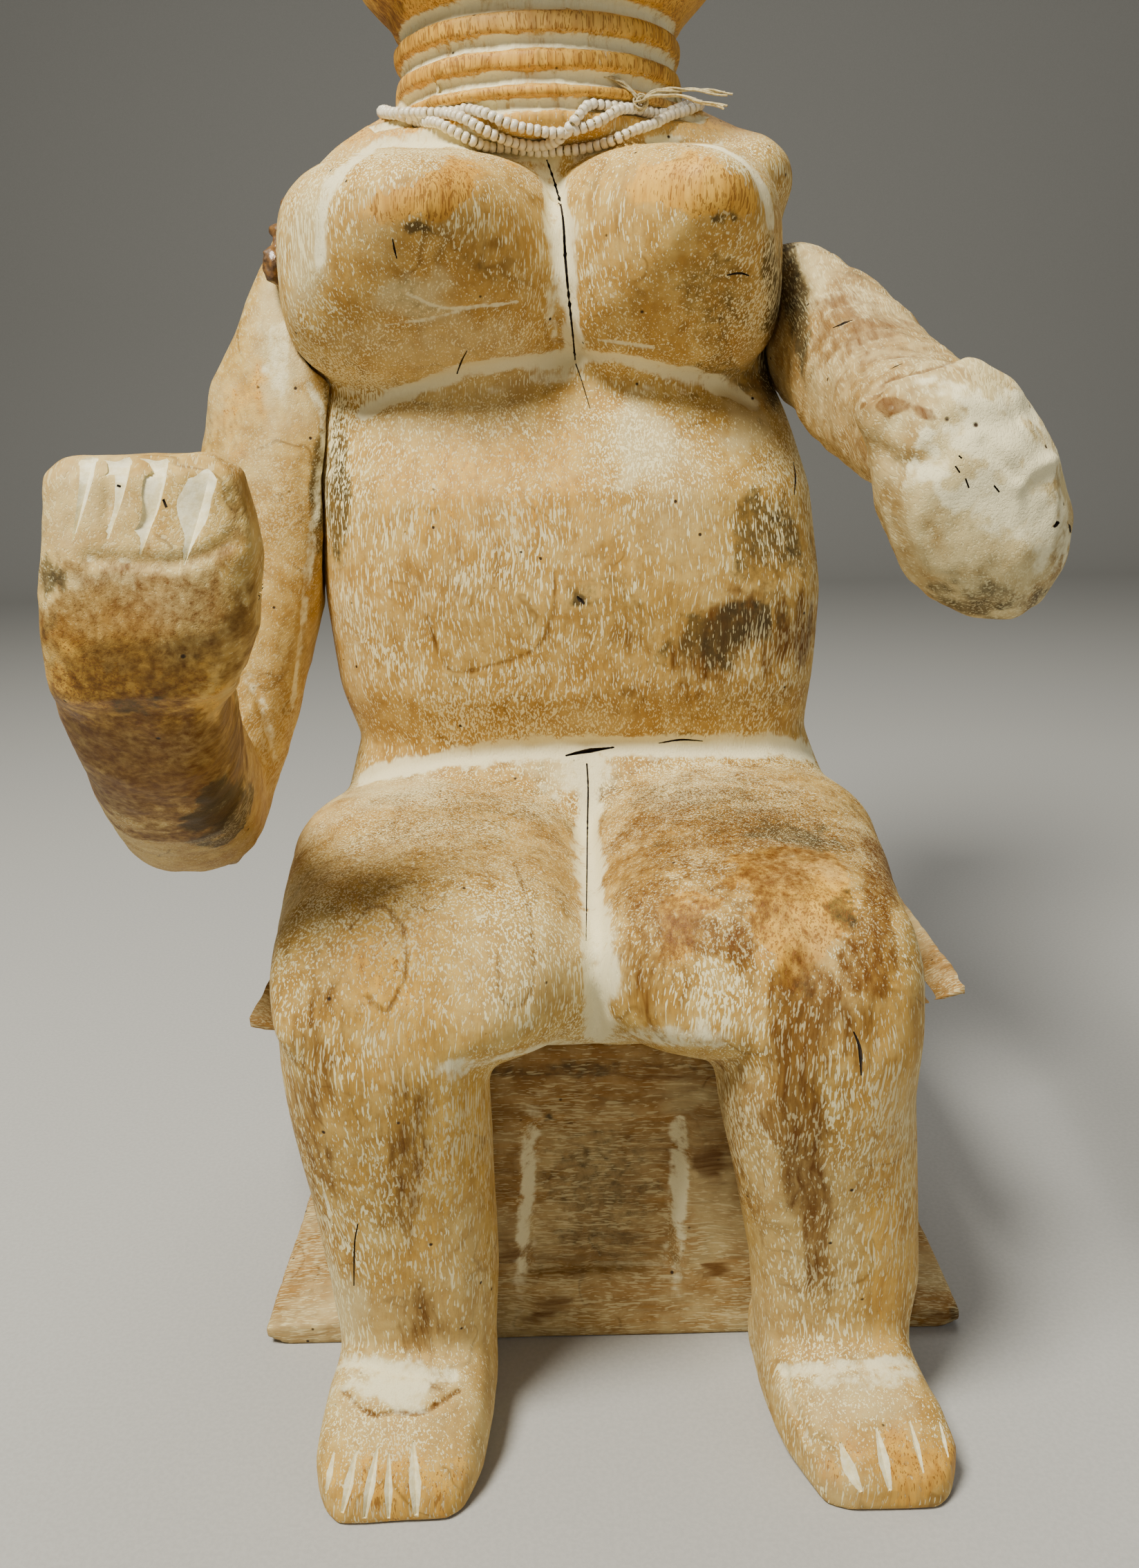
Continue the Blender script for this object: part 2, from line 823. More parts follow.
def grain_group() -> bpy.types.NodeTree:
    """The grain of the wood along Z: long streaks, and short pores that hold chalk."""
    tree, sheet, start, end = new_group(
        "wood_grain", (("Vector", "Vector"),),
        (("Streaks", "Float"), ("Pores", "Float"), ("Fibres", "Float"), ("Rags", "Float")))
    place = start.outputs["Vector"]
    warp = sheet.noise(place, 60.0, 1.0)
    bent = sheet.node("VectorMath", {0: place, 1: sheet.node(
        "CombineXYZ", {0: sheet.math("MULTIPLY", warp, 0.004)}).outputs[0]}, operation="ADD").outputs[0]
    streaks = sheet.noise(sheet.stretch(bent, (620, 620, 26)), 1.0, 4.0, 0.6)
    crowd = sheet.noise(place, 38.0, 2.0)
    low = sheet.math("MULTIPLY_ADD", crowd, -0.34, 0.775)
    pores = []
    for scale, turn in (((2400, 2400, 380), 0.0), ((1800, 1800, 230), 37.0)):
        made = sheet.noise(sheet.stretch(bent, scale, (0, 0, turn)), 1.0, 1.0, 0.4)
        over = sheet.math("SUBTRACT", made, low)
        pores.append(sheet.step(over, 0.0, 0.05))
    fibres = sheet.noise(sheet.stretch(bent, (2600, 2600, 120)), 1.0, 2.0, 0.6)
    tree.links.new(streaks, end.inputs["Streaks"])
    tree.links.new(sheet.math("MAXIMUM", *pores), end.inputs["Pores"])
    tree.links.new(fibres, end.inputs["Fibres"])
    tree.links.new(sheet.noise(sheet.stretch(bent, (560, 560, 75)), 1.0, 4.0, 0.68), end.inputs["Rags"])
    return tree


def tide_group() -> bpy.types.NodeTree:
    """Water marks: wavy closed outlines, darker on their rim, and the cloudy tone inside them."""
    tree, sheet, start, end = new_group(
        "tide_marks", (("Vector", "Vector"), ("Size", "Float")), (("Rim", "Float"), ("Cloud", "Float")))
    scale = sheet.math("DIVIDE", 1.0, start.outputs["Size"])
    made = sheet.node("TexNoise", {"Vector": start.outputs["Vector"], "Scale": scale, "Detail": 3.0,
                                   "Roughness": 0.52, "Distortion": 0.35})
    cloud = made.outputs[0]
    rims = []
    for level in (0.43, 0.57):
        gap = sheet.math("ABSOLUTE", sheet.math("SUBTRACT", cloud, level))
        rims.append(sheet.math("SUBTRACT", 1.0, sheet.step(gap, 0.0, 0.011)))
    broken = sheet.step(sheet.noise(start.outputs["Vector"], 70.0, 2.0), 0.45, 0.62)
    rim = sheet.math("MULTIPLY", sheet.math("MAXIMUM", *rims), broken)
    tree.links.new(rim, end.inputs["Rim"])
    tree.links.new(sheet.step(cloud, 0.38, 0.64), end.inputs["Cloud"])
    return tree


def speckle_group() -> bpy.types.NodeTree:
    """Small dark specks, as of dust and worm holes."""
    tree, sheet, start, end = new_group(
        "dark_specks", (("Vector", "Vector"), ("Amount", "Float")), (("Specks", "Float"),))
    cells = sheet.node("TexVoronoi", {"Vector": start.outputs["Vector"], "Scale": 420.0})
    tone = sheet.node("SeparateColor", {0: cells.outputs["Color"]}).outputs[1]
    chosen = sheet.math("GREATER_THAN", start.outputs["Amount"], tone)
    spot = sheet.math("SUBTRACT", 1.0, sheet.step(cells.outputs["Distance"], 0.10, 0.26))
    tree.links.new(sheet.math("MULTIPLY", spot, chosen), end.inputs["Specks"])
    return tree


@dataclass(frozen=True)
class WoodFinish:
    """Wood under a worn pale wash.

    Attributes:
        name: The material's name.
        grain: The way of the grain.
        wood: The bare wood's two colours.
        wash: The wash's two colours.
        cover: How much of the wood the wash covers.
        flecks: How bright the chalk in the pores is.
        specks: How many dark specks there are.
        tide: How strong the water marks are.
        shine: The roughness of the worn places.
    """

    name: str
    grain: Grain
    wood: tuple[Colour, Colour] = (srgb(232, 182, 78), srgb(200, 146, 56))
    wash: tuple[Colour, Colour] = (srgb(164, 130, 66), srgb(204, 174, 102))
    cover: float = 0.8
    flecks: float = 0.95
    specks: float = 0.02
    tide: float = 0.5
    shine: float = 0.5

    def build(self, groups: dict[str, bpy.types.NodeTree]) -> bpy.types.Material:
        """Makes the material.

        Args:
            groups: The shared node groups by name.

        Returns:
            The material.
        """
        made = bpy.data.materials.new(self.name)
        made.use_nodes = True
        sheet = Sheet(made.node_tree)
        shader = made.node_tree.nodes["Principled BSDF"]
        place = sheet.node("TexCoord").outputs["Object"]
        turned = sheet.stretch(place, (1, 1, 1), self.grain.value)
        grain = sheet.node("Group", node_tree=groups["grain"])
        made.node_tree.links.new(turned, grain.inputs["Vector"])
        tide = sheet.node("Group", node_tree=groups["tide"])
        made.node_tree.links.new(place, tide.inputs["Vector"])
        tide.inputs["Size"].default_value = 0.045
        specks = sheet.node("Group", node_tree=groups["specks"])
        made.node_tree.links.new(place, specks.inputs["Vector"])
        specks.inputs["Amount"].default_value = self.specks
        pale = sheet.attribute(Layer.PALE)
        chalk = sheet.attribute(Layer.CHALK)
        streaks = grain.outputs["Streaks"]
        mottle = sheet.noise(place, 170.0, 4.0, 0.62)
        rags = sheet.math("MULTIPLY_ADD", grain.outputs["Rags"], 1.1, -0.55)
        bare = sheet.attribute(Layer.BARE)
        torn = sheet.step(sheet.math("ADD", bare, rags), 0.44, 0.56)
        bare = sheet.math("MAXIMUM", sheet.math("MULTIPLY", bare, 0.6), torn)
        brown = sheet.step(sheet.math("ADD", sheet.attribute(Layer.BROWN), rags), 0.16, 0.86)
        crumbs = sheet.math("MULTIPLY_ADD", sheet.noise(place, 420.0, 4.0, 0.7), 1.2, -0.6)
        grime = sheet.step(sheet.math("ADD", sheet.attribute(Layer.GRIME), crumbs), 0.18, 0.92)
        wood = sheet.mix(sheet.step(streaks, 0.35, 0.68), self.wood[0], self.wood[1])
        wash = sheet.mix(sheet.step(mottle, 0.36, 0.66), self.wash[0], self.wash[1])
        thick = sheet.math("MULTIPLY_ADD", mottle, 0.5, self.cover - 0.25)
        thick = sheet.math("MULTIPLY_ADD", streaks, 0.5, sheet.math("SUBTRACT", thick, 0.25))
        thick = sheet.math("SUBTRACT", thick, sheet.math("MULTIPLY", bare, 1.5), clamp=True)
        colour = sheet.mix(thick, wood, wash)
        cloud = sheet.math("MULTIPLY", tide.outputs["Cloud"], self.tide * 0.45)
        colour = sheet.mix(cloud, colour, srgb(218, 184, 130), "MULTIPLY")
        rim = sheet.math("MULTIPLY", tide.outputs["Rim"], self.tide)
        colour = sheet.mix(rim, colour, srgb(104, 70, 26))
        cream = sheet.math("MULTIPLY", pale, sheet.math("MULTIPLY_ADD", mottle, 0.8, 0.4), clamp=True)
        colour = sheet.mix(cream, colour, srgb(218, 200, 146))
        soak = sheet.math("MULTIPLY", brown, sheet.math("MULTIPLY_ADD", streaks, 1.3, 0.16), clamp=True)
        colour = sheet.mix(soak, colour, srgb(104, 64, 14))
        dirt = sheet.math("MULTIPLY", grime, sheet.math("MULTIPLY_ADD", mottle, 0.9, 0.36), clamp=True)
        colour = sheet.mix(dirt, colour, srgb(66, 54, 30))
        pores = grain.outputs["Pores"]
        hidden = sheet.math("MULTIPLY_ADD", soak, 0.7, bare)
        filled = sheet.math("MULTIPLY", pores, sheet.math("SUBTRACT", self.flecks, hidden, clamp=True))
        colour = sheet.mix(filled, colour, srgb(244, 230, 176))
        empty = sheet.math("MULTIPLY", pores, sheet.math("MULTIPLY", bare, 0.7), clamp=True)
        colour = sheet.mix(empty, colour, srgb(132, 84, 34))
        worn = sheet.math("MULTIPLY_ADD", sheet.math("ADD", streaks, mottle), 1.3, -1.3)
        breakup = sheet.step(sheet.math("ADD", chalk, worn), 0.2, 0.8)
        white = sheet.math("MULTIPLY", breakup, sheet.step(chalk, 0.02, 0.45))
        colour = sheet.mix(sheet.math("MULTIPLY", white, 0.92), colour, srgb(242, 232, 188))
        colour = sheet.mix(specks.outputs["Specks"], colour, srgb(58, 42, 28))
        made.node_tree.links.new(colour, shader.inputs["Base Color"])
        shader.inputs["Specular IOR Level"].default_value = 0.22
        gloss = sheet.math("MULTIPLY_ADD", white, 0.2, self.shine + 0.08)
        gloss = sheet.math("MULTIPLY_ADD", mottle, 0.16, gloss)
        gloss = sheet.math("SUBTRACT", gloss, sheet.math("MULTIPLY", bare, 0.12), clamp=True)
        made.node_tree.links.new(gloss, shader.inputs["Roughness"])
        height = sheet.math("MULTIPLY_ADD", grain.outputs["Fibres"], 0.35, sheet.math("MULTIPLY", streaks, 0.5))
        height = sheet.math("SUBTRACT", height, sheet.math("MULTIPLY", pores, 0.35))
        height = sheet.math("MULTIPLY_ADD", mottle, 0.7, height)
        height = sheet.math("SUBTRACT", height, specks.outputs["Specks"])
        bump = sheet.node("Bump", {"Strength": 0.55, "Distance": 0.0004, "Height": height})
        made.node_tree.links.new(bump.outputs[0], shader.inputs["Normal"])
        return made


@dataclass(frozen=True)
class PlainFinish:
    """A material of two mottled tones.

    Attributes:
        name: The material's name.
        tones: Its two colours.
        size: How far apart its mottles are, in metres.
        roughness: Its two roughnesses.
        bump: How high its unevenness is, in metres.
        coat: A clear coat on it.
        glow: How much light passes under its surface.
    """

    name: str
    tones: tuple[Colour, Colour]
    size: float
    roughness: Pair = (0.5, 0.7)
    bump: float = 0.0002
    coat: float = 0.0
    glow: float = 0.0

    def build(self) -> bpy.types.Material:
        """Makes the material."""
        made = bpy.data.materials.new(self.name)
        made.use_nodes = True
        sheet = Sheet(made.node_tree)
        shader = made.node_tree.nodes["Principled BSDF"]
        place = sheet.node("TexCoord").outputs["Object"]
        mottle = sheet.noise(place, 1.0 / self.size, 4.0, 0.6)
        share = sheet.step(mottle, 0.35, 0.65)
        made.node_tree.links.new(sheet.mix(share, *self.tones), shader.inputs["Base Color"])
        low, high = self.roughness
        gloss = sheet.math("MULTIPLY_ADD", share, high - low, low)
        made.node_tree.links.new(gloss, shader.inputs["Roughness"])
        bump = sheet.node("Bump", {"Strength": 0.6, "Distance": self.bump, "Height": mottle})
        made.node_tree.links.new(bump.outputs[0], shader.inputs["Normal"])
        shader.inputs["Coat Weight"].default_value = self.coat
        shader.inputs["Subsurface Weight"].default_value = self.glow
        shader.inputs["Subsurface Radius"].default_value = (0.8 * MM, 0.7 * MM, 0.6 * MM)
        return made


CHALK = PlainFinish("packed_chalk", (srgb(246, 238, 200), srgb(230, 216, 168)), 1.6 * MM, (0.75, 0.9), 0.0003)
DARK = PlainFinish("dark_crack", (srgb(30, 21, 13), srgb(58, 42, 27)), 1.5 * MM, (0.8, 0.95))
GLUE = PlainFinish("old_brown_glue", (srgb(132, 94, 50), srgb(78, 54, 28)), 2.2 * MM, (0.3, 0.65), 0.0004, 0.2)
BEAD = PlainFinish("white_bead_glass", (srgb(246, 240, 220), srgb(232, 220, 190)), 5.0 * MM, (0.22, 0.34),
                   0.00003, 0.25, 0.15)
THREAD = PlainFinish("cream_cotton", (srgb(214, 200, 156), srgb(180, 160, 112)), 0.9 * MM, (0.8, 0.95), 0.00008)
PAPER = PlainFinish("pale_paper", (srgb(176, 175, 171), srgb(170, 169, 165)), 1.2 * MM, (0.85, 0.9), 0.0001)
BODY_WOOD = WoodFinish("worn_body_wood", Grain.UPRIGHT)
RIGHT_ARM_WOOD = WoodFinish("right_arm_wood", Grain.FOREARM, cover=0.9, flecks=0.35, specks=0.02, tide=0.6,
                            shine=0.42)
LEFT_ARM_WOOD = WoodFinish("left_arm_wood", Grain.FOREARM, cover=0.95, flecks=0.4, specks=0.035, tide=0.35,
                           wash=(srgb(150, 122, 72), srgb(188, 164, 110)))
STOOL_WOOD = WoodFinish("stool_wood", Grain.SIDEWAYS, cover=0.7, flecks=0.45, specks=0.02, tide=0.6,
                        wood=(srgb(186, 134, 62), srgb(136, 92, 38)),
                        wash=(srgb(148, 116, 62), srgb(190, 164, 110)))


@dataclass
class Figure:
    """The body, carved in one piece from the head to the feet.

    Attributes:
        camera: The picture's camera.
        node: Its solid.
        grain: The size of the mesh's faces while it is carved.
        triangles: The most triangles that it keeps.
        rub_rounds: How often all of it is rubbed smooth, and then all but its face and toes.
        hollow_rounds: How far the search for hollows spreads.
        neck_levels: The heights of the neck's rings.
        neck_middle: The neck's middle, across and back.
        neck_reach: How far from the neck's middle its rings go.
        ring_width: The width of a ring's dip.
        ring_depth: Its depth.
        chin: The height of the chin.
        hair_rows: How many rows of hair a whole turn would have, times two.
        hair_depth: The depth between the rows.
        hair_fall: How far below the crown the hair goes.
        lines: Its carved and worn lines.
        patches: Its stains and worn places.
        cuts: Its toe grooves, cracks and chips.
    """

    camera: PhotoCamera
    node: str = "figure"
    grain: float = 0.8 * MM
    triangles: int = 185000
    rub_rounds: tuple[int, int] = (6, 70)
    hollow_rounds: int = 14
    neck_levels: tuple[float, ...] = (0.316, 0.322, 0.330, 0.3385)
    neck_middle: Pair = (-0.0115, 0.035)
    neck_reach: float = 0.047
    ring_width: float = 3.0 * MM
    ring_depth: float = 1.1 * MM
    chin: float = 0.347
    hair_rows: float = 52.0
    hair_depth: float = 0.6 * MM
    hair_fall: float = 66.0 * MM

    lines: tuple[Line, ...] = (
        Line(((462, 372), (466, 310), (482, 262), (520, 226), (567, 205), (640, 202), (720, 209), (799, 224)),
             3.5, 0.5, 0.75, 4.5),
        Line(((941, 204), (1021, 208), (1062, 224), (1089, 247), (1106, 282), (1116, 322)),
             3.0, 0.6, 0.85, 3.6),
        Line(((528, 594), (560, 581), (612, 556), (665, 541), (726, 528), (816, 519)), 4.5, 0.9, 0.95, 3.6),
        Line(((816, 519), (860, 518), (907, 524), (960, 537), (1021, 550), (1092, 584)),
             4.5, 0.9, 0.85, 3.2),
        Line(((790, 226), (802, 266), (812, 312), (818, 373), (824, 430), (830, 519)), 5.5, 1.0, 0.85, 5.0),
        Line(((522, 1126), (560, 1113), (640, 1099), (740, 1086), (845, 1078), (960, 1079), (1060, 1080),
              (1130, 1080), (1182, 1087)), 5.0, 1.0, 0.95, 4.6),
        Line(((849, 1092), (851, 1137), (855, 1195), (858, 1260), (862, 1330), (866, 1400), (868, 1494)),
             5.0, 0.5, 0.9, 6.0),
        Line(((640, 1545), (704, 1535), (801, 1514), (919, 1501), (1036, 1503)), 2.5, 0.0, 0.55, 5.0),
        Line(((483, 1966), (540, 1975), (600, 1986), (656, 1990)), 3.0, 0.8, 0.7, 2.6),
        Line(((1133, 1982), (1200, 1975), (1280, 1970), (1350, 1962)), 3.0, 0.8, 0.7, 2.2),
        Line(((1133, 1984), (1147, 2037), (1172, 2086)), 2.4, 0.7, 0.4, 1.6),
        Line(((1172, 2086), (1215, 2060), (1290, 2035), (1372, 2030)), 6.0, -0.5),
        Line(((496, 2010), (534, 2045), (570, 2042), (610, 2043), (665, 2010)), 1.2, 0.5, 0.8, 0.9,
             Layer.BROWN),
        Line(((1113, 1399), (1122, 1500), (1132, 1640), (1126, 1760)), 7.0, -0.9),
        Line(((655, 1560), (665, 1750), (672, 1900)), 7.0, -0.7),
        Line(((590, 300), (650, 350), (742, 436)), 12.0, -0.7),
        Line(((1020, 280), (980, 350), (900, 440)), 12.0, -0.6),
        Line(((590, 300), (560, 400), (530, 520)), 14.0, -0.6),
        Line(((590, 424), (640, 446), (690, 444), (746, 436)), 1.0, 0.2, 0.8, 0.7),
        Line(((560, 468), (620, 462), (700, 440)), 1.0, 0.2, 0.7, 0.7),
        Line(((866, 492), (900, 497), (945, 504)), 1.2, 0.3, 0.8, 0.8),
        Line(((618, 890), (650, 968), (720, 960), (780, 934), (802, 880), (800, 830)), 1.0, 0.15, 0.62,
             1.2, Layer.BROWN),
        Line(((505, 1345), (540, 1310), (578, 1330), (588, 1400), (560, 1460), (530, 1440)), 1.0, 0.15, 0.62,
             1.2, Layer.BROWN),
        Line(((720, 1380), (725, 1440), (750, 1455), (772, 1420), (768, 1330), (745, 1245)), 1.0, 0.15, 0.62,
             1.2, Layer.BROWN),
        Line(((970, 1360), (975, 1290), (1010, 1220), (1050, 1212), (1070, 1245)), 1.0, 0.0, 1.0, 0.9,
             Layer.BROWN),
        Line(((-22.5, 317), (-17, 290), (-10, 255), (-5, 215), (-4, 165)), 7.0, 1.6, 0.5, 3.2,
             sight=Sight.BACK),
        *both_eyes(((-43.5, 409.5), (-38, 412.5), (-32.5, 413.6), (-27, 412.3), (-22.5, 408.8)),
                   1.8, 0.8, 0.5, 0.9),
        *both_eyes(((-42, 408), (-37, 406.2), (-32.5, 405.6), (-28, 406.2), (-24, 408)), 1.6, 0.6, 0.3, 0.8),
        *both_eyes(((-40, 408.2), (-36, 408.9), (-32.5, 409.2), (-29, 408.9), (-25, 408.2)),
                   1.4, 0.6, 0.8, 0.8),
        Line(((-25.5, 370.6), (-20, 370.2), (-14, 370.9), (-11, 370.1), (-8, 370.9), (-2, 370.2), (3.5, 370.6)),
             1.6, 0.9, 0.4, 0.8, sight=Sight.FRONT),
        *(Line(EAR_RIM, 2.0, 0.8, 0.5, 1.2, sight=side) for side in (Sight.LEFT, Sight.RIGHT)),
    )

    patches: tuple[Patch, ...] = patch_table({
        Layer.CHALK: (
            (846, 1118, 52, 40, 0.6, 0, 0.9, 0.4, 1.4),
            (866, 1440, 34, 70, 0.45, 0, 0.9, 0.4, 2.0),
            (550, 2000, 74, 44, 0.8, 4, 0.8, 0.5, 1.2),
            (1240, 1992, 96, 22, 0.5, -4, 0.9, 0.5, 1.2),
        ),
        Layer.BARE: (
            (606, 280, 112, 36, 1.0, -16, 0.4, 0.3, 3.0),
            (1000, 268, 96, 42, 1.0, 4, 0.4, 0.3, 3.0),
            (700, 690, 170, 90, 0.38, 0, 0.6, 0.4, 1.6),
            (1150, 1300, 104, 78, 1.0, 20, 0.35, 0.3, 3.0),
            (1160, 1380, 34, 60, 1.0, 0, 0.4, 0.4, 4.0),
            (980, 1345, 36, 60, 0.55, 0, 0.3, 0.4, 2.5),
            (560, 1400, 130, 140, 0.42, 0, 0.9, 0.4, 1.6),
            (640, 1700, 90, 200, 0.3, 2, 0.7, 0.5, 3.0),
            (1290, 1700, 50, 260, 0.35, 0, 0.7, 0.4, 3.0),
            (580, 2150, 120, 60, 0.5, 0, 0.6, 0.4, 1.4),
            (1290, 2120, 110, 60, 0.6, 0, 0.6, 0.4, 1.4),
        ),
        Layer.BROWN: (
            (690, 345, 100, 46, 0.34, 22, 0.8, 0.4, 2.5),
            (920, 345, 50, 70, 0.3, 0, 0.8, 0.4, 2.5),
            (640, 1220, 240, 120, 0.5, -6, 0.9, 0.4, 2.0),
            (1080, 1220, 230, 140, 0.82, 8, 0.9, 0.3, 2.0),
            (940, 1310, 90, 190, 0.74, 0, 0.9, 0.4, 3.0),
            (640, 830, 110, 60, 0.4, -12, 0.7, 0.5, 2.0),
            (840, 900, 330, 90, 0.3, 4, 0.7, 0.5, 2.0),
            (1010, 1000, 200, 40, 0.4, 0, 0.7, 0.5, 2.0),
            (1065, 925, 120, 66, 0.85, -16, 0.5, 0.4, 1.6),
            (905, 925, 36, 18, 0.6, 0, 0.5, 0.5, 1.0),
            (1272, 1320, 36, 160, 1.0, 2, 0.5, 0.3, 3.5),
            (1034, 1366, 90, 40, 1.0, 12, 0.6, 0.4, 4.0),
            (1160, 1446, 74, 60, 1.0, 0, 0.6, 0.4, 4.0),
            (1250, 1400, 30, 70, 0.9, 0, 0.6, 0.4, 4.0),
            (1160, 1560, 46, 200, 1.0, -2, 0.8, 0.25, 5.0),
            (1180, 1750, 38, 140, 0.95, -2, 0.8, 0.25, 5.0),
            (1210, 1480, 60, 90, 0.6, -8, 0.8, 0.5, 4.0),
            (1060, 1650, 44, 230, 0.56, 0, 0.9, 0.4, 4.0),
            (1240, 1700, 60, 260, 0.3, 0, 0.9, 0.4, 4.0),
            (600, 1250, 160, 60, 0.4, -10, 0.7, 0.5, 1.6),
            (960, 1260, 110, 130, 0.5, 0, 0.6, 0.5, 1.6),
            (1100, 1160, 140, 40, 0.5, 10, 0.6, 0.5, 1.0),
            (588, 1670, 38, 190, 0.68, 3, 0.9, 0.35, 4.0),
            (614, 1905, 42, 76, 0.74, 2, 0.9, 0.4, 4.0),
            (630, 2000, 30, 22, 0.6, 20, 0.5, 0.5, 1.0),
            (462, 1600, 56, 190, 0.6, 4, 0.7, 0.5, 3.0),
            (560, 20, 36, 60, 0.7, -20, 0.6, 0.3, 1.0),
            (770, 60, 230, 16, 0.4, 0, 0.6, 0.4, 1.0),
            (650, 100, 60, 40, 0.4, 0, 0.6, 0.5, 1.0),
        ),
        Layer.GRIME: (
            (680, 380, 90, 14, 0.4, 42, 0.9, 0.4, 1.6),
            (598, 330, 34, 9, 0.9, 10, 0.5, 0.5, 1.0),
            (1034, 318, 36, 13, 0.95, -6, 0.5, 0.6, 1.0),
            (1035, 440, 75, 110, 0.5, 0, 0.5, 0.4, 1.4),
            (1075, 546, 60, 16, 0.55, 16, 0.5, 0.6, 1.0),
            (600, 440, 70, 44, 0.4, 6, 0.6, 0.5, 1.0),
            (690, 1170, 240, 70, 0.46, -4, 0.9, 0.4, 1.6),
            (1030, 1170, 220, 70, 0.5, 4, 0.9, 0.4, 1.6),
            (480, 1290, 90, 150, 0.34, 8, 0.9, 0.4, 1.6),
            (1100, 770, 80, 66, 0.75, 30, 0.5, 0.4, 1.8),
            (1050, 915, 96, 50, 0.95, -16, 0.4, 0.35, 1.6),
            (1120, 850, 50, 120, 0.4, 0, 0.7, 0.4, 1.8),
            (880, 855, 95, 48, 0.42, 12, 0.7, 0.5, 1.2),
            (838, 868, 14, 11, 1.0, 0, 0.4, 0.5, 1.0),
            (1118, 470, 20, 150, 1.0, 0, 0.5, 0.2, 2.0),
            (490, 690, 22, 130, 1.0, 2, 0.5, 0.2, 2.0),
            (985, 1068, 70, 12, 0.6, 4, 0.6, 0.6, 1.0),
            (1165, 1212, 62, 20, 0.75, 14, 0.5, 0.7, 1.0),
            (1225, 1310, 26, 30, 0.8, 10, 0.5, 0.7, 1.4),
            (1150, 1432, 22, 40, 0.6, -4, 0.8, 0.5, 3.0),
            (1190, 2080, 22, 40, 0.45, -30, 0.6, 0.6, 1.2),
            (740, 1290, 46, 60, 0.25, 0, 0.7, 0.6, 2.0),
        ),
        Layer.PALE: (
            (606, 432, 60, 42, 0.95, 10, 0.4, 0.5, 1.0),
            (640, 500, 130, 46, 0.45, -6, 0.6, 0.5, 1.0),
            (450, 330, 30, 110, 0.8, 8, 0.6, 0.4, 2.0),
            (1085, 600, 60, 50, 0.75, 0, 0.5, 0.5, 1.2),
            (925, 640, 52, 62, 0.75, 8, 0.2, 0.3, 1.2),
            (840, 1115, 60, 40, 1.0, 0, 0.5, 0.3, 1.2),
            (560, 1140, 90, 26, 0.7, -6, 0.6, 0.4, 1.2),
            (1150, 1255, 70, 26, 0.3, 10, 0.6, 0.4, 2.0),
            (1150, 1214, 34, 18, 0.8, 10, 0.5, 0.7, 1.0),
            (556, 1996, 80, 40, 1.0, 4, 0.5, 0.4, 1.0),
            (1240, 2015, 100, 44, 0.55, -4, 0.6, 0.5, 1.0),
            (498, 1890, 24, 60, 0.7, -16, 0.6, 0.5, 2.0),
        ),
    })

    cuts: tuple[Cut, ...] = (
        Cut(((484, 2100), (479, 2122), (471, 2160)), (0.4, 1.8, 0.3), 1.0),
        Cut(((516, 2097), (507, 2135), (495, 2188)), (0.4, 2.3, 0.8), 1.3),
        Cut(((547, 2092), (537, 2140), (527, 2196)), (0.4, 2.3, 0.9), 1.3),
        Cut(((563, 2101), (562, 2145), (562, 2196)), (0.4, 1.9, 0.7), 1.2),
        Cut(((598, 2084), (600, 2140), (602, 2192)), (0.5, 2.9, 1.0), 1.5),
        Cut(((1216, 2086), (1228, 2122), (1246, 2158)), (0.5, 3.2, 0.8), 1.4),
        Cut(((1268, 2064), (1278, 2108), (1288, 2156)), (0.5, 2.6, 0.8), 1.3),
        Cut(((1316, 2054), (1326, 2090), (1336, 2130)), (0.4, 1.4, 0.4), 1.0),
        Cut(((1359, 2056), (1366, 2084), (1372, 2108)), (0.4, 1.3, 0.4), 0.9),
        Cut(((791, 231), (803, 266), (814, 312), (818, 373), (823, 430), (829, 486), (832, 521)),
            (0.4, 0.8, 0.5), 3.0, Filling.DARK),
        Cut(((833, 526), (842, 552), (854, 592)), (0.4, 0.3, 0.2), 0.8, Filling.DARK),
        Cut(((818, 1093), (846, 1087), (889, 1081)), (0.5, 1.4, 0.3), 2.4, Filling.DARK),
        Cut(((849, 1104), (851, 1140), (850, 1195), (849, 1280), (848, 1361)),
            (0.5, 0.4, 0.25), 1.0, Filling.DARK),
        Cut(((953, 1075), (985, 1070), (1017, 1072)), (0.3, 0.8, 0.3), 0.9, Filling.DARK),
        Cut(((661, 541), (668, 522), (676, 507)), (0.3, 0.6, 0.25), 0.8, Filling.DARK),
        Cut(((1052, 398), (1070, 395), (1084, 399)), (0.4, 0.7, 0.3), 0.7, Filling.DARK),
        Cut(((568, 345), (571, 362), (574, 374)), (0.3, 0.6, 0.3), 0.8, Filling.DARK),
        Cut(((1148, 668), (1151, 690), (1149, 716)), (0.4, 1.0, 0.3), 0.9, Filling.DARK),
        Cut(((835, 862), (840, 868), (845, 874)), (0.4, 1.2, 0.4), 0.9, Filling.DARK),
        Cut(((466, 1712), (474, 1742), (481, 1772)), (0.3, 1.3, 0.3), 0.7),
        Cut(((518, 1770), (513, 1800), (512, 1860)), (0.3, 0.4, 0.3), 0.7, Filling.DARK),
        Cut(((1235, 1492), (1244, 1516), (1246, 1556)), (0.3, 0.9, 0.3), 0.8, Filling.DARK),
    )

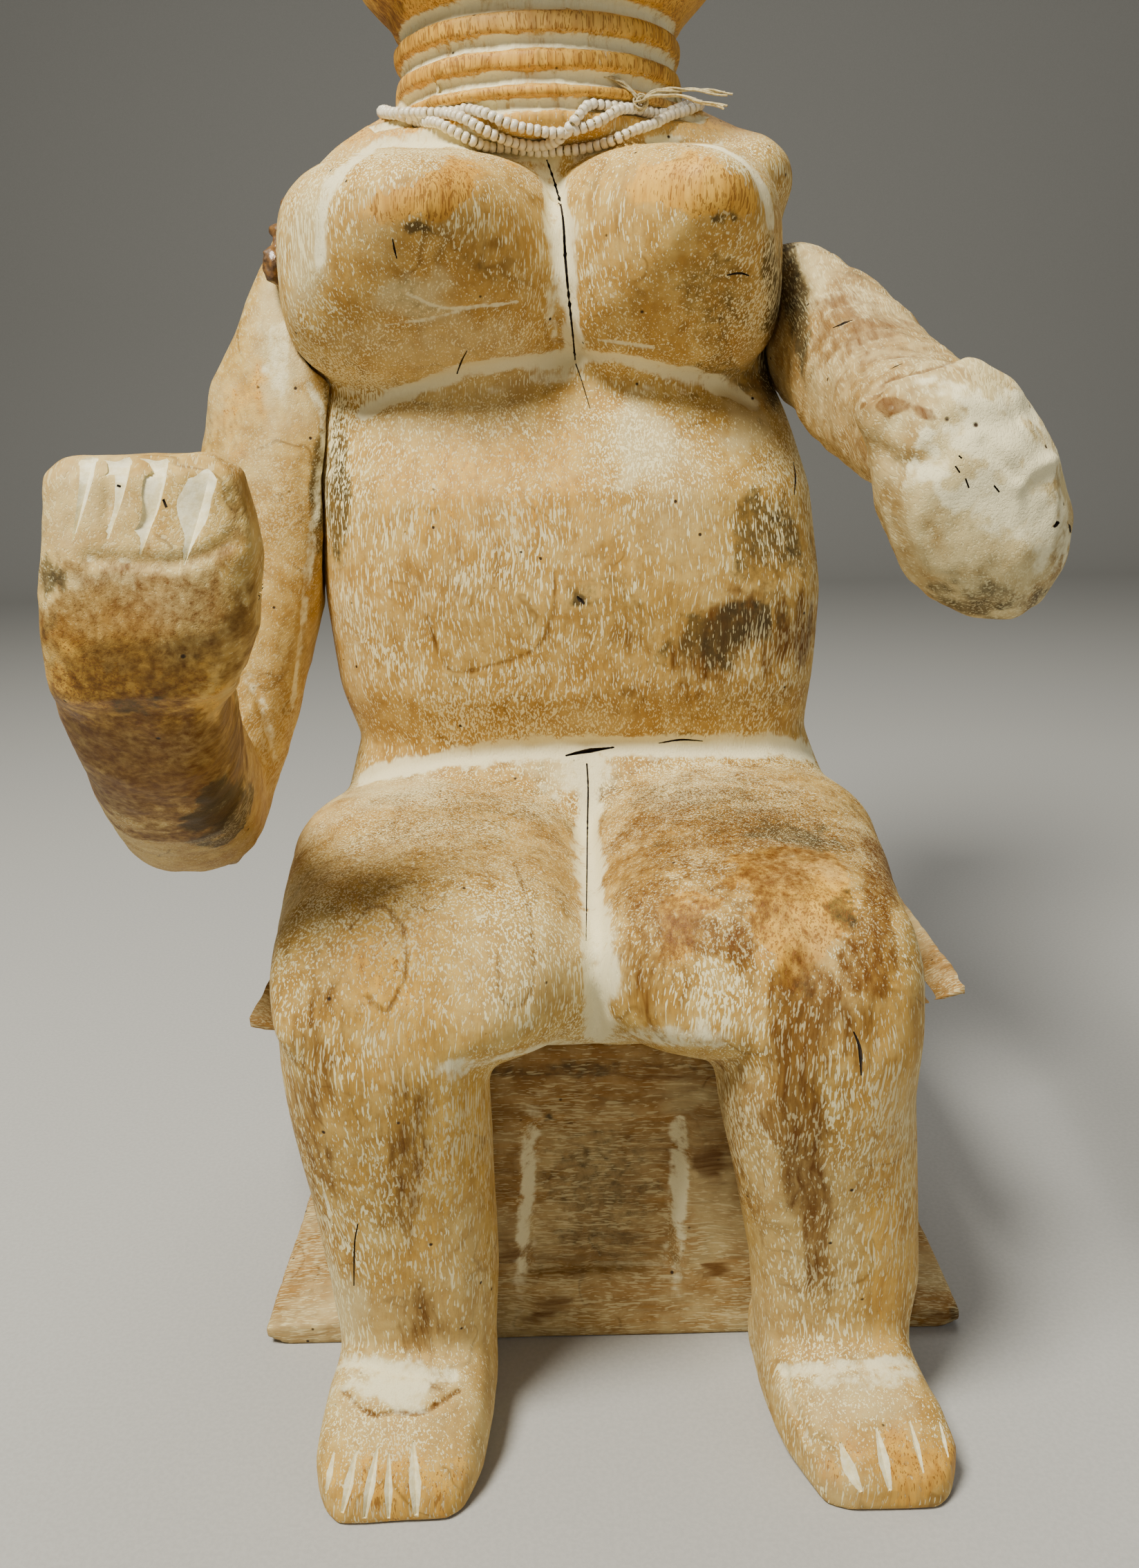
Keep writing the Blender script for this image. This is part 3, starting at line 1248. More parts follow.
    def rub_weight(self, points: np.ndarray) -> np.ndarray:
        """How much each place is rubbed: the body much, the face and the toes little."""
        _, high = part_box(self.node)
        head = smooth_step(self.neck_levels[0] - 6 * MM, self.neck_levels[0] - 1 * MM, points[:, 2])
        skull = smooth_step(high.z - 22 * MM, high.z - 10 * MM, points[:, 2])
        toes = (1.0 - smooth_step(0.010, 0.022, points[:, 2])) * (points[:, 1] < -0.095)
        return np.clip(1.0 - np.maximum(head * (1.0 - skull * 0.6), toes * 0.8), 0.0, 1.0)

    def ring_depths(self, points: np.ndarray) -> np.ndarray:
        """How much of a neck ring's dip each place has, from 0 to 1."""
        gap = np.hypot(points[:, 0] - self.neck_middle[0], points[:, 1] - self.neck_middle[1])
        on_neck = gap < self.neck_reach
        dip = np.zeros(len(points))
        sway = 0.35 * MM * lumps(points, 11 * MM, 31)
        for level in self.neck_levels:
            dip = np.maximum(dip, np.exp(-(((points[:, 2] - level + sway) / (self.ring_width / 2)) ** 2)))
        return np.where(on_neck, dip, 0.0)

    def hair_mask(self, points: np.ndarray) -> np.ndarray:
        """Where the cap of hair lies, from 0 to 1."""
        _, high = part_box(self.node)
        rise = points[:, 2] - (high.z - self.hair_fall)
        front = points[:, 1] - 17 * MM + 1.1 * rise
        return smooth_step(0.0, 2 * MM, np.minimum(rise, front))

    def comb_hair(self, skin: Skin) -> None:
        """Carves rows of hair that run from the brow over the crown to the nape."""
        points = skin.points()
        _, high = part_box(self.node)
        middle = np.array((-11 * MM, 39 * MM, high.z - 52 * MM))
        off = points - middle
        turn = np.arctan2(off[:, 0], np.hypot(off[:, 1], off[:, 2]))
        rows = np.abs(np.cos(self.hair_rows * turn / 2)) ** 0.6
        skin.push((rows - 1.0) * self.hair_depth * self.hair_mask(points))

    def build(self, fillings: dict[Filling, bpy.types.Material], wood: bpy.types.Material) -> bpy.types.Object:
        """Carves, cuts and paints the body.

        Args:
            fillings: The materials that show in the cuts.
            wood: The wood's material.

        Returns:
            The piece.
        """
        skin = Skin(self.node, "carved_woman", self.camera)
        skin.remesh(self.grain)
        skin.rub(self.rub_rounds[0])
        skin.rub(self.rub_rounds[1], self.rub_weight)
        laid = skin.lines(self.lines)
        skin.carve(laid)
        skin.push(-self.ring_depth * self.ring_depths(skin.points()))
        self.comb_hair(skin)
        skin.roughen((16 * MM, 16 * MM, 30 * MM), 0.35 * MM, 3)
        skin.scoop((10 * MM, 10 * MM, 24 * MM), 0.35 * MM, 4)
        skin.thin(self.triangles)
        skin.obj.data.materials.append(wood)
        skin.cut(self.cuts, fillings)
        self.paint(skin, laid)
        return skin.finish("body_wood")

    def paint(self, skin: Skin, laid: Sequence[tuple[Line, np.ndarray]]) -> None:
        """Paints the layers of the body."""
        points = skin.points()
        hollow = skin.hollows(self.hollow_rounds)
        skin.paint(Layer.CHALK, 0.75 * smooth_step(0.12 * MM, 0.6 * MM, hollow))
        rings = self.ring_depths(points)
        gaps = 0.5 + 0.5 * lumps(points, (4 * MM, 4 * MM, 2 * MM), 41)
        skin.paint(Layer.CHALK, smooth_step(0.30, 0.75, rings) * (0.45 + 0.6 * gaps))
        neck = smooth_step(self.neck_levels[0] - 8 * MM, self.neck_levels[0], points[:, 2])
        head = smooth_step(self.chin - 4 * MM, self.chin + 14 * MM, points[:, 2])
        skin.paint(Layer.BARE, (0.7 - 0.5 * head) * neck * (1.0 - rings))
        skin.paint(Layer.PALE, 0.5 * head * smooth_step(-0.3, 0.5, lumps(points, 15 * MM, 53)))
        ring_edges = smooth_step(0.15, 0.5, rings) * (1.0 - smooth_step(0.5, 0.8, rings))
        skin.paint(Layer.BROWN, neck * ring_edges * 0.6)
        skin.paint(Layer.BROWN, 0.55 * self.hair_mask(points))
        skin.paint(Layer.GRIME, 0.25 * self.hair_mask(points))
        skin.paint_lines(laid)
        skin.paint_patches(self.patches)
        side = smooth_step(0.25, 0.6, lumps(points, (30 * MM, 30 * MM, 45 * MM), 51))
        behind = smooth_step(20 * MM, 50 * MM, points[:, 1])
        skin.paint(Layer.BROWN, 0.5 * side * behind)
        skin.paint(Layer.PALE, 0.26 * smooth_step(0.1, 0.6, lumps(points, (24 * MM, 24 * MM, 32 * MM), 52)))


@dataclass
class Arm:
    """One arm, carved from a piece of its own.

    Attributes:
        camera: The picture's camera.
        node: Its solid.
        name: The piece's name.
        lines: Its carved and worn lines.
        patches: Its stains and worn places.
        cuts: Its finger grooves and holes.
        dents: How deep the dents of its surface are.
        grain: The size of the mesh's faces while it is carved.
        triangles: The most triangles that it keeps.
        rub_rounds: How often it is rubbed smooth.
        hollow_rounds: How far the search for hollows spreads.
    """

    camera: PhotoCamera
    node: str
    name: str
    lines: tuple[Line, ...]
    patches: tuple[Patch, ...]
    cuts: tuple[Cut, ...]
    dents: float = 0.35 * MM
    grain: float = 0.6 * MM
    triangles: int = 90000
    rub_rounds: int = 30
    hollow_rounds: int = 12

    def build(self, fillings: dict[Filling, bpy.types.Material], wood: bpy.types.Material) -> bpy.types.Object:
        """Carves, cuts and paints the arm.

        Args:
            fillings: The materials that show in the cuts.
            wood: The wood's material.

        Returns:
            The piece.
        """
        skin = Skin(self.node, self.name, self.camera)
        skin.remesh(self.grain)
        skin.rub(self.rub_rounds)
        laid = skin.lines(self.lines)
        skin.carve(laid)
        skin.roughen((12 * MM, 12 * MM, 12 * MM), self.dents, 13)
        skin.scoop((10 * MM, 10 * MM, 13 * MM), self.dents * 1.6, 16)
        skin.roughen((4 * MM, 4 * MM, 6 * MM), self.dents * 0.45, 14)
        skin.roughen((1.8 * MM, 1.8 * MM, 2.5 * MM), self.dents * 0.18, 15)
        skin.thin(self.triangles)
        skin.obj.data.materials.append(wood)
        skin.cut(self.cuts, fillings)
        points = skin.points()
        hollow = skin.hollows(self.hollow_rounds)
        skin.paint(Layer.CHALK, 0.6 * smooth_step(0.10 * MM, 0.5 * MM, hollow))
        skin.paint_lines(laid)
        skin.paint_patches(self.patches)
        skin.paint(Layer.PALE, 0.35 * smooth_step(0.0, 0.6, lumps(points, 16 * MM, 57)))
        skin.paint(Layer.BROWN, 0.3 * smooth_step(0.3, 0.7, lumps(points, 20 * MM, 58)))
        return skin.finish("arm_wood")


def right_arm(camera: PhotoCamera) -> Arm:
    """Her right arm, with an open hand held up.

    Args:
        camera: The picture's camera.

    Returns:
        The arm.
    """
    over_top = (0.0, 0.6, 4.5)
    wedges = []
    for top, middle, tip, width in (
        ((130, 664), (118, 722), (104, 783), 3.5), ((182, 668), (171, 722), (156, 779), 3.5),
        ((236, 670), (222, 735), (203, 802), 3.7), ((299, 692), (284, 750), (265, 818), 4.7),
    ):
        wedges.append(Cut((top, middle, tip), (width * 1.1, width * 0.62, 0.25), 1.5,
                          lead=over_top))
    holes = (
        Cut(((169, 702), (172, 703), (175, 704)), (0.4, 1.0, 0.4), 1.4, Filling.DARK),
        Cut(((236, 722), (239, 728), (241, 734)), (0.5, 1.6, 0.5), 1.2, Filling.DARK),
        Cut(((374, 868), (378, 858), (380, 846)), (0.4, 0.8, 0.3), 1.0, Filling.DARK),
    )
    return Arm(
        camera, "right_arm", "carved_right_arm",
        lines=(
            Line(((128, 806), (190, 812), (260, 812), (330, 786)), 3.0, 0.8, 0.5, 1.2, Layer.BROWN),
            Line(((352, 975), (372, 1000), (392, 1060), (400, 1100)), 3.0, 0.8, 0.4, 2.0),
            Line(((452, 560), (470, 620), (455, 760), (440, 900), (424, 1020)), 3.0, 0.4, 0.6, 2.5),
            Line(((318, 700), (340, 705), (352, 740), (352, 800)), 5.0, -0.6),
        ),
        patches=patch_table({
            Layer.CHALK: (
                (415, 480, 24, 90, 0.55, 10, 0.6, 0.5, 2.0),
            ),
            Layer.BARE: (
                (230, 1010, 130, 60, 0.5, 10, 0.6, 0.4, 1.0),
                (100, 990, 90, 60, 0.7, 0, 0.6, 0.4, 1.0),
                (350, 580, 40, 60, 0.5, 20, 0.7, 0.5, 1.4),
            ),
            Layer.BROWN: (
                (200, 915, 190, 110, 0.62, 0, 0.3, 0.3, 1.0),
                (220, 1090, 170, 150, 0.9, 20, 0.6, 0.3, 1.0),
                (345, 760, 24, 120, 0.55, 4, 0.6, 0.4, 1.6),
                (340, 620, 40, 80, 0.3, 20, 0.7, 0.5, 1.4),
            ),
            Layer.GRIME: (
                (322, 1176, 62, 54, 1.0, -34, 0.4, 0.3, 1.0),
                (70, 830, 22, 34, 0.75, 0, 0.5, 0.6, 1.2),
                (76, 905, 15, 30, 0.7, 0, 0.5, 0.6, 1.2),
                (286, 955, 20, 30, 0.7, 14, 0.5, 0.7, 1.0),
                (210, 1022, 60, 12, 0.75, -4, 0.5, 0.7, 1.0),
                (330, 760, 16, 50, 0.35, 8, 0.7, 0.5, 1.4),
                (462, 700, 14, 130, 0.9, 4, 0.5, 0.2, 1.5),
            ),
            Layer.PALE: (
                (150, 835, 110, 16, 0.6, 0, 0.6, 0.6, 1.0),
                (120, 740, 80, 60, 0.5, 0, 0.7, 0.6, 1.0),
                (410, 500, 40, 130, 0.9, 8, 0.5, 0.3, 2.0),
            ),
        }),
        cuts=tuple(wedges) + holes,
    )


def left_arm(camera: PhotoCamera) -> Arm:
    """Her left arm, with a hand worn down to a stump.

    Args:
        camera: The picture's camera.

    Returns:
        The arm.
    """
    dark = (
        (((1205, 474), (1220, 468), (1234, 463)), 1.3), (((1288, 534), (1298, 529), (1306, 526)), 0.9),
        (((1382, 674), (1386, 679), (1389, 684)), 2.0), (((1397, 692), (1400, 699), (1402, 706)), 1.5),
        (((1387, 659), (1389, 661), (1392, 663)), 1.0), (((1546, 758), (1549, 767), (1550, 777)), 1.2),
        (((1438, 702), (1442, 706), (1446, 712)), 1.0), (((1524, 762), (1528, 758), (1533, 756)), 1.0),
        (((1346, 458), (1352, 460), (1358, 464)), 0.9),
    )
    cuts = []
    for points, width in dark:
        cuts.append(Cut(points, (0.3, width, 0.3), 1.3, Filling.DARK))
    return Arm(
        camera, "left_arm", "carved_left_arm",
        lines=(
            Line(((1262, 566), (1285, 545), (1330, 528), (1400, 512)), 4.0, 0.9, 0.7, 1.6, Layer.BROWN),
            Line(((1268, 655), (1310, 668), (1350, 664)), 5.0, 1.0),
            Line(((1428, 640), (1450, 665), (1475, 690)), 2.4, 0.7, 0.7, 1.2),
            Line(((1475, 700), (1500, 678), (1540, 660)), 3.0, -0.7, 0.8, 1.8),
            Line(((1480, 600), (1500, 640), (1520, 690)), 5.0, 0.7),
            Line(((1400, 610), (1450, 612), (1500, 590)), 5.0, 0.6),
            Line(((1330, 700), (1330, 760), (1360, 820)), 6.0, -0.6),
        ),
        patches=patch_table({
            Layer.CHALK: (
                (1440, 640, 110, 105, 0.95, 0, 0.7, 0.5, 1.0),
                (1500, 760, 75, 75, 0.7, 0, 0.7, 0.6, 1.0),
            ),
            Layer.BROWN: (
                (1230, 470, 110, 70, 0.6, 34, 0.9, 0.4, 1.0),
                (1288, 588, 30, 13, 0.95, 4, 0.4, 0.5, 1.0),
                (1335, 598, 16, 9, 0.8, 20, 0.5, 0.5, 1.0),
                (1402, 588, 18, 14, 0.75, 0, 0.5, 0.5, 1.0),
                (1462, 672, 14, 18, 0.7, 0, 0.5, 0.5, 1.0),
                (1416, 618, 12, 7, 0.7, 20, 0.5, 0.5, 1.0),
                (1530, 800, 30, 60, 0.45, 10, 0.6, 0.5, 1.0),
                (1250, 560, 70, 40, 0.35, 36, 0.7, 0.5, 1.0),
                (1250, 645, 50, 20, 0.5, 30, 0.6, 0.5, 1.0),
            ),
            Layer.GRIME: (
                (1152, 440, 22, 120, 1.0, -8, 0.5, 0.2, 1.5),
                (1300, 662, 36, 13, 0.6, 8, 0.6, 0.5, 1.0),
                (1300, 620, 34, 24, 0.3, 0, 0.7, 0.5, 1.0),
                (1420, 868, 110, 36, 0.7, 2, 0.6, 0.5, 1.0),
                (1370, 850, 30, 30, 0.6, 30, 0.5, 0.7, 1.0),
                (1400, 810, 90, 40, 0.3, 0, 0.7, 0.6, 1.0),
                (1280, 418, 70, 9, 0.5, 26, 0.6, 0.6, 1.0),
                (1240, 500, 60, 26, 0.25, 30, 0.7, 0.6, 1.0),
            ),
            Layer.PALE: (
                (1430, 700, 150, 190, 0.95, -10, 0.4, 0.3, 1.0),
                (1170, 400, 30, 60, 0.7, -20, 0.6, 0.4, 1.4),
            ),
        }),
        cuts=tuple(cuts),
        dents=0.55 * MM,
    )


@dataclass
class Stool:
    """The low stool, cut from one block.

    Attributes:
        camera: The picture's camera.
        node: Its solid.
        grain: The size of the mesh's faces while it is carved.
        triangles: The most triangles that it keeps.
        rub_rounds: How often it is rubbed smooth.
        hollow_rounds: How far the search for hollows spreads.
        block_half: Half the width of the block in the middle, whose corners hold chalk.
        lines: Its carved and worn lines.
        patches: Its stains and worn places.
        cuts: Its cracks and chips.
    """

    camera: PhotoCamera
    node: str = "stool"
    grain: float = 0.9 * MM
    triangles: int = 120000
    rub_rounds: int = 6
    hollow_rounds: int = 10
    block_half: float = 46 * MM

    lines: tuple[Line, ...] = (
        Line(((984, 1742), (980, 1800), (998, 1852)), 3.5, -0.6, 0.0),
        Line(((800, 1650), (850, 1640), (900, 1634)), 1.2, 0.3, 0.6, 0.8, Layer.GRIME),
        Line(((800, 1735), (860, 1732), (930, 1738)), 1.0, 0.3, 0.5, 0.7, Layer.GRIME),
        Line(((810, 1790), (870, 1782), (950, 1748)), 1.0, 0.3, 0.5, 0.7, Layer.GRIME),
        Line(((848, 1776), (856, 1800), (870, 1818)), 1.0, 0.4, 0.6, 0.7, Layer.GRIME),
        Line(((412, 1850), (440, 1838), (480, 1842)), 3.0, 0.4, 0.3, 2.0),
        Line(((1320, 1320), (1350, 1335), (1390, 1420)), 4.0, 0.5, 0.4, 2.0),
    )
    patches: tuple[Patch, ...] = patch_table({
        Layer.CHALK: (
            (762, 1730, 17, 128, 0.95, 4, 0.8, 0.3, 2.4),
            (980, 1732, 15, 130, 0.95, 0, 0.8, 0.3, 2.4),
        ),
        Layer.BROWN: (
            (900, 1556, 190, 26, 0.45, -2, 0.7, 0.5, 0.4),
            (1030, 1685, 28, 30, 0.8, 14, 0.5, 0.4, 0.6),
            (1034, 1835, 22, 20, 0.8, 30, 0.5, 0.5, 0.6),
            (740, 1812, 18, 22, 0.7, 10, 0.5, 0.5, 0.6),
            (742, 1690, 14, 60, 0.4, 0, 0.6, 0.5, 0.6),
            (800, 1885, 60, 24, 0.6, -40, 0.6, 0.5, 0.5),
            (420, 1880, 50, 40, 0.35, -20, 0.7, 0.5, 0.5),
            (1370, 1910, 40, 30, 0.5, 10, 0.7, 0.5, 0.5),
        ),
        Layer.GRIME: (
            (872, 1725, 92, 116, 0.5, 0, 0.5, 0.3, 0.4),
            (845, 1545, 190, 14, 0.6, -2, 0.7, 0.4, 0.4),
            (795, 1618, 10, 10, 0.9, 0, 0.5, 0.6, 1.0),
            (835, 1620, 16, 6, 0.6, 0, 0.5, 0.6, 0.5),
            (1384, 1902, 14, 14, 0.8, 20, 0.6, 0.7, 1.0),
        ),
        Layer.PALE: (
            (872, 1725, 100, 120, 0.35, 0, 0.5, 0.4, 0.5),
            (1026, 1740, 44, 120, 0.7, 0, 0.6, 0.4, 0.6),
            (1000, 1590, 34, 22, 0.8, 10, 0.5, 0.6, 0.6),
            (1000, 1900, 80, 26, 0.4, 0, 0.6, 0.5, 0.4),
            (1350, 1350, 30, 60, 0.55, -20, 0.6, 0.5, 0.5),
        ),
    })
    cuts: tuple[Cut, ...] = (
        Cut(((962, 1604), (990, 1598), (1020, 1601), (1052, 1596)), (0.5, 0.9, 0.4), 1.6, Filling.DARK),
        Cut(((758, 1822), (757, 1850), (752, 1882)), (0.4, 0.5, 0.3), 0.9, Filling.DARK),
        Cut(((786, 1616), (792, 1619), (798, 1621)), (0.6, 2.2, 0.8), 1.6, Filling.DARK),
        Cut(((1382, 1894), (1388, 1898), (1393, 1899)), (0.4, 1.4, 0.4), 1.2, Filling.DARK),
    )

    def build(self, fillings: dict[Filling, bpy.types.Material], wood: bpy.types.Material) -> bpy.types.Object:
        """Carves, cuts and paints the stool.

        Args:
            fillings: The materials that show in the cuts.
            wood: The wood's material.

        Returns:
            The piece.
        """
        skin = Skin(self.node, "carved_stool", self.camera)
        skin.remesh(self.grain)
        skin.rub(self.rub_rounds)
        laid = skin.lines(self.lines)
        skin.carve(laid)
        skin.roughen((26 * MM, 9 * MM, 9 * MM), 0.35 * MM, 23)
        skin.roughen((12 * MM, 3 * MM, 3 * MM), 0.14 * MM, 24)
        skin.thin(self.triangles)
        skin.obj.data.materials.append(wood)
        skin.cut(self.cuts, fillings)
        points = skin.points()
        block = np.abs(points[:, 0]) < self.block_half
        hollow = skin.hollows(self.hollow_rounds)
        skin.paint(Layer.CHALK, 0.4 * smooth_step(0.12 * MM, 0.6 * MM, hollow) * block)
        skin.paint_lines(laid)
        skin.paint_patches(self.patches)
        skin.paint(Layer.PALE, 0.5 * smooth_step(0.1, 0.6, lumps(points, (40 * MM, 16 * MM, 16 * MM), 61)))
        skin.paint(Layer.BROWN, 0.4 * smooth_step(0.2, 0.6, lumps(points, (34 * MM, 15 * MM, 15 * MM), 62)))
        return skin.finish("stool_wood")


@dataclass
class GlueLumps:
    """Old glue that was smeared and dripped over the shoulder joint.

    Attributes:
        camera: The picture's camera.
        node: Its solid.
        grain: The size of the mesh's faces while it is shaped.
        triangles: The most triangles that it keeps.
        rub_rounds: How often it is rubbed smooth.
    """

    camera: PhotoCamera
    node: str = "shoulder_repair"
    grain: float = 0.35 * MM
    triangles: int = 24000
    rub_rounds: int = 4

    def build(self, glue: bpy.types.Material) -> bpy.types.Object:
        """Makes the lumps craggy.

        Args:
            glue: Their material.

        Returns:
            The piece.
        """
        skin = Skin(self.node, "old_shoulder_glue", self.camera)
        skin.remesh(self.grain)
        skin.rub(self.rub_rounds)
        skin.roughen((2.4 * MM,) * 3, 0.7 * MM, 71)
        skin.roughen((1.0 * MM,) * 3, 0.3 * MM, 72)
        skin.thin(self.triangles)
        skin.obj.data.materials.append(glue)
        return skin.finish("old_glue")


@dataclass
class Beads:
    """Three loops of small white glass beads on one thread.

    Attributes:
        camera: The picture's camera.
        figure: The body that they rest on.
        node: Their solid.
        size: A bead's diameter.
        pitch: How far apart the beads are.
        hole: The diameter of a bead's hole.
        middle: The middle of the neck, at the height where the loops pass behind it.
        behind: How far from that middle they pass, across and back.
        behind_steps: How many steps that stretch has.
        fronts: The loops' front stretches in pixels, from her right to her left.
        rises: How much higher each loop passes behind.
        seed: Which draw of sizes and tilts.
    """

    camera: PhotoCamera
    figure: bpy.types.Object
    node: str = "bead_necklace"
    size: float = 2.9 * MM
    pitch: float = 1.95 * MM
    hole: float = 0.8 * MM
    middle: tuple[float, float, float] = (-0.0115, 0.035, 0.321)
    behind: Pair = (0.042, 0.039)
    behind_steps: int = 14
    fronts: tuple[tuple[Pair, ...], ...] = (
        ((566, 163), (597, 170), (642, 184), (692, 203), (750, 211), (788, 216), (826, 214), (864, 209),
         (903, 196), (941, 183), (979, 168), (1008, 160)),
        ((622, 163), (673, 176), (719, 191), (769, 203), (803, 196), (826, 178), (842, 166), (866, 155),
         (903, 151), (941, 157), (972, 162)),
        ((612, 158), (646, 155), (685, 163), (730, 176), (772, 183), (808, 186), (846, 180), (884, 169),
         (922, 158), (950, 161), (985, 166)),
    )
    rises: tuple[float, ...] = (0.0, 3.0 * MM, 1.4 * MM)
    seed: int = 5

    def template(self) -> tuple[np.ndarray, list[tuple[int, ...]]]:
        """Models one bead, a fat ring along Z.

        Returns:
            Its places and its faces.
        """
        tube = (self.size - self.hole) / 4
        bpy.ops.mesh.primitive_torus_add(major_segments=9, minor_segments=6, minor_radius=tube,
                                         major_radius=self.hole / 2 + tube)
        bead = bpy.context.active_object
        bpy.ops.object.mode_set(mode="EDIT")
        bpy.ops.mesh.select_all(action="SELECT")
        bpy.ops.transform.resize(value=(1, 1, self.pitch / tube / 2 * 0.97))
        bpy.ops.object.mode_set(mode="OBJECT")
        places = np.array([vertex.co for vertex in bead.data.vertices])
        faces = [tuple(face.vertices) for face in bead.data.polygons]
        bpy.data.objects.remove(bead)
        return places, faces

    def loop(self, tree: BVHTree, index: int) -> np.ndarray:
        """One loop's middle line: in front as the picture shows it, and round behind the neck.

        Args:
            tree: The body's surface.
            index: Which loop.

        Returns:
            Places at the beads' distance.
        """
        knots = []
        for pixel in smooth_path(self.fronts[index], 24.0):
            place = tree.ray_cast(*self.camera.ray(tuple(pixel)))[0]
            if place is not None:
                knots.append(self.lift(tree, place))
        start, end = knots[-1], knots[0]
        middle = Vector(self.middle)
        first = math.atan2(start.y - middle.y, start.x - middle.x)
        last = math.atan2(end.y - middle.y, end.x - middle.x)
        span = (last - first) % math.tau
        for step in range(1, self.behind_steps):
            share = step / self.behind_steps
            angle = first + span * share
            level = (1 - share) * start.z + share * end.z
            bow = math.sin(math.pi * share)
            spot = middle + Vector((math.cos(angle) * self.behind[0], math.sin(angle) * self.behind[1], 0))
            spot.z = level + (self.middle[2] + self.rises[index] - level) * bow
            knots.append(self.lift(tree, spot))
        path = smooth_path([tuple(knot) for knot in knots], 0.5 * MM, closed=True)
        length = np.linalg.norm(np.diff(path, axis=0), axis=1).sum()
        count = round(length / self.pitch)
        return smooth_path(path[:-1], length / count, closed=True)[:-1]

    def lift(self, tree: BVHTree, place: Vector) -> Vector:
        """Moves a point outwards until a bead there rests on the body."""
        moved = place.copy()
        for _ in range(4):
            near, normal, _, gap = tree.find_nearest(moved)
            inside = (moved - near).dot(normal) < 0
            if not inside and gap >= self.size / 2:
                break
            away = normal if inside or gap < 1e-5 else (moved - near) / gap
            moved = near + away * self.size * 0.51
        return moved

    def build(self, glass: bpy.types.Material, cotton: bpy.types.Material) -> None:
        """Strings the beads.

        Args:
            glass: The beads' material.
            cotton: The thread's material.
        """
        tree = BVHTree.FromObject(self.figure, bpy.context.evaluated_depsgraph_get())
        places, faces = self.template()
        draw = np.random.default_rng(self.seed)
        for index in range(len(self.fronts)):
            path = self.loop(tree, index)
            verts: list[np.ndarray] = []
            polygons: list[tuple[int, ...]] = []
            for step, place in enumerate(path):
                along = Vector(path[(step + 1) % len(path)] - path[step - 1])
                tilt = Vector(draw.normal(0, 0.07, 3))
                turn = (along.normalized() + tilt).to_track_quat("Z", "Y").to_matrix()
                grown = 1 + draw.uniform(-0.07, 0.05)
                shaped = places * (grown, grown, 1 + draw.uniform(-0.08, 0.04))
                start = step * len(places)
                verts.append(shaped @ np.array(turn).T + place)
                polygons += [tuple(start + corner for corner in face) for face in faces]
            data = bpy.data.meshes.new("bead_loop_%d" % (index + 1))
            data.from_pydata(np.concatenate(verts).tolist(), [], polygons)
            data.materials.append(glass)
            data.shade_smooth()
            piece = bpy.data.objects.new(data.name, data)
            bpy.context.scene.collection.objects.link(piece)
            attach(piece, "root")
            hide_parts(self.node)
            LOG.info("piece %s, %d beads", piece.name, len(path))
            core = tube("bead_thread_%d" % (index + 1), [path.tolist()], self.hole * 0.4, cotton, closed=True)
            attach(core, "root")


def tube(name: str, paths: Sequence[Sequence[Sequence[float]]], radius: float, finish: bpy.types.Material,
         closed: bool = False) -> bpy.types.Object:
    """Makes round threads along some paths, as one mesh.

    Args:
        name: The object's name.
        paths: The paths.
        radius: The threads' radius.
        finish: Their material.
        closed: Whether they go round.

    Returns:
        The object.
    """
    data = bpy.data.curves.new(name, "CURVE")
    data.dimensions = "3D"
    data.bevel_depth = radius
    data.bevel_resolution = 1
    data.use_fill_caps = True
    for path in paths:
        spline = data.splines.new("POLY")
        spline.points.add(len(path) - 1)
        spline.points.foreach_set("co", [value for place in path for value in (*place, 1.0)])
        spline.use_cyclic_u = closed
    obj = bpy.data.objects.new(name, data)
    bpy.context.scene.collection.objects.link(obj)
    select_only(obj)
    bpy.ops.object.convert(target="MESH")
    made = bpy.context.active_object
    made.data.materials.clear()
    made.data.materials.append(finish)
    made.data.shade_smooth()
    return made


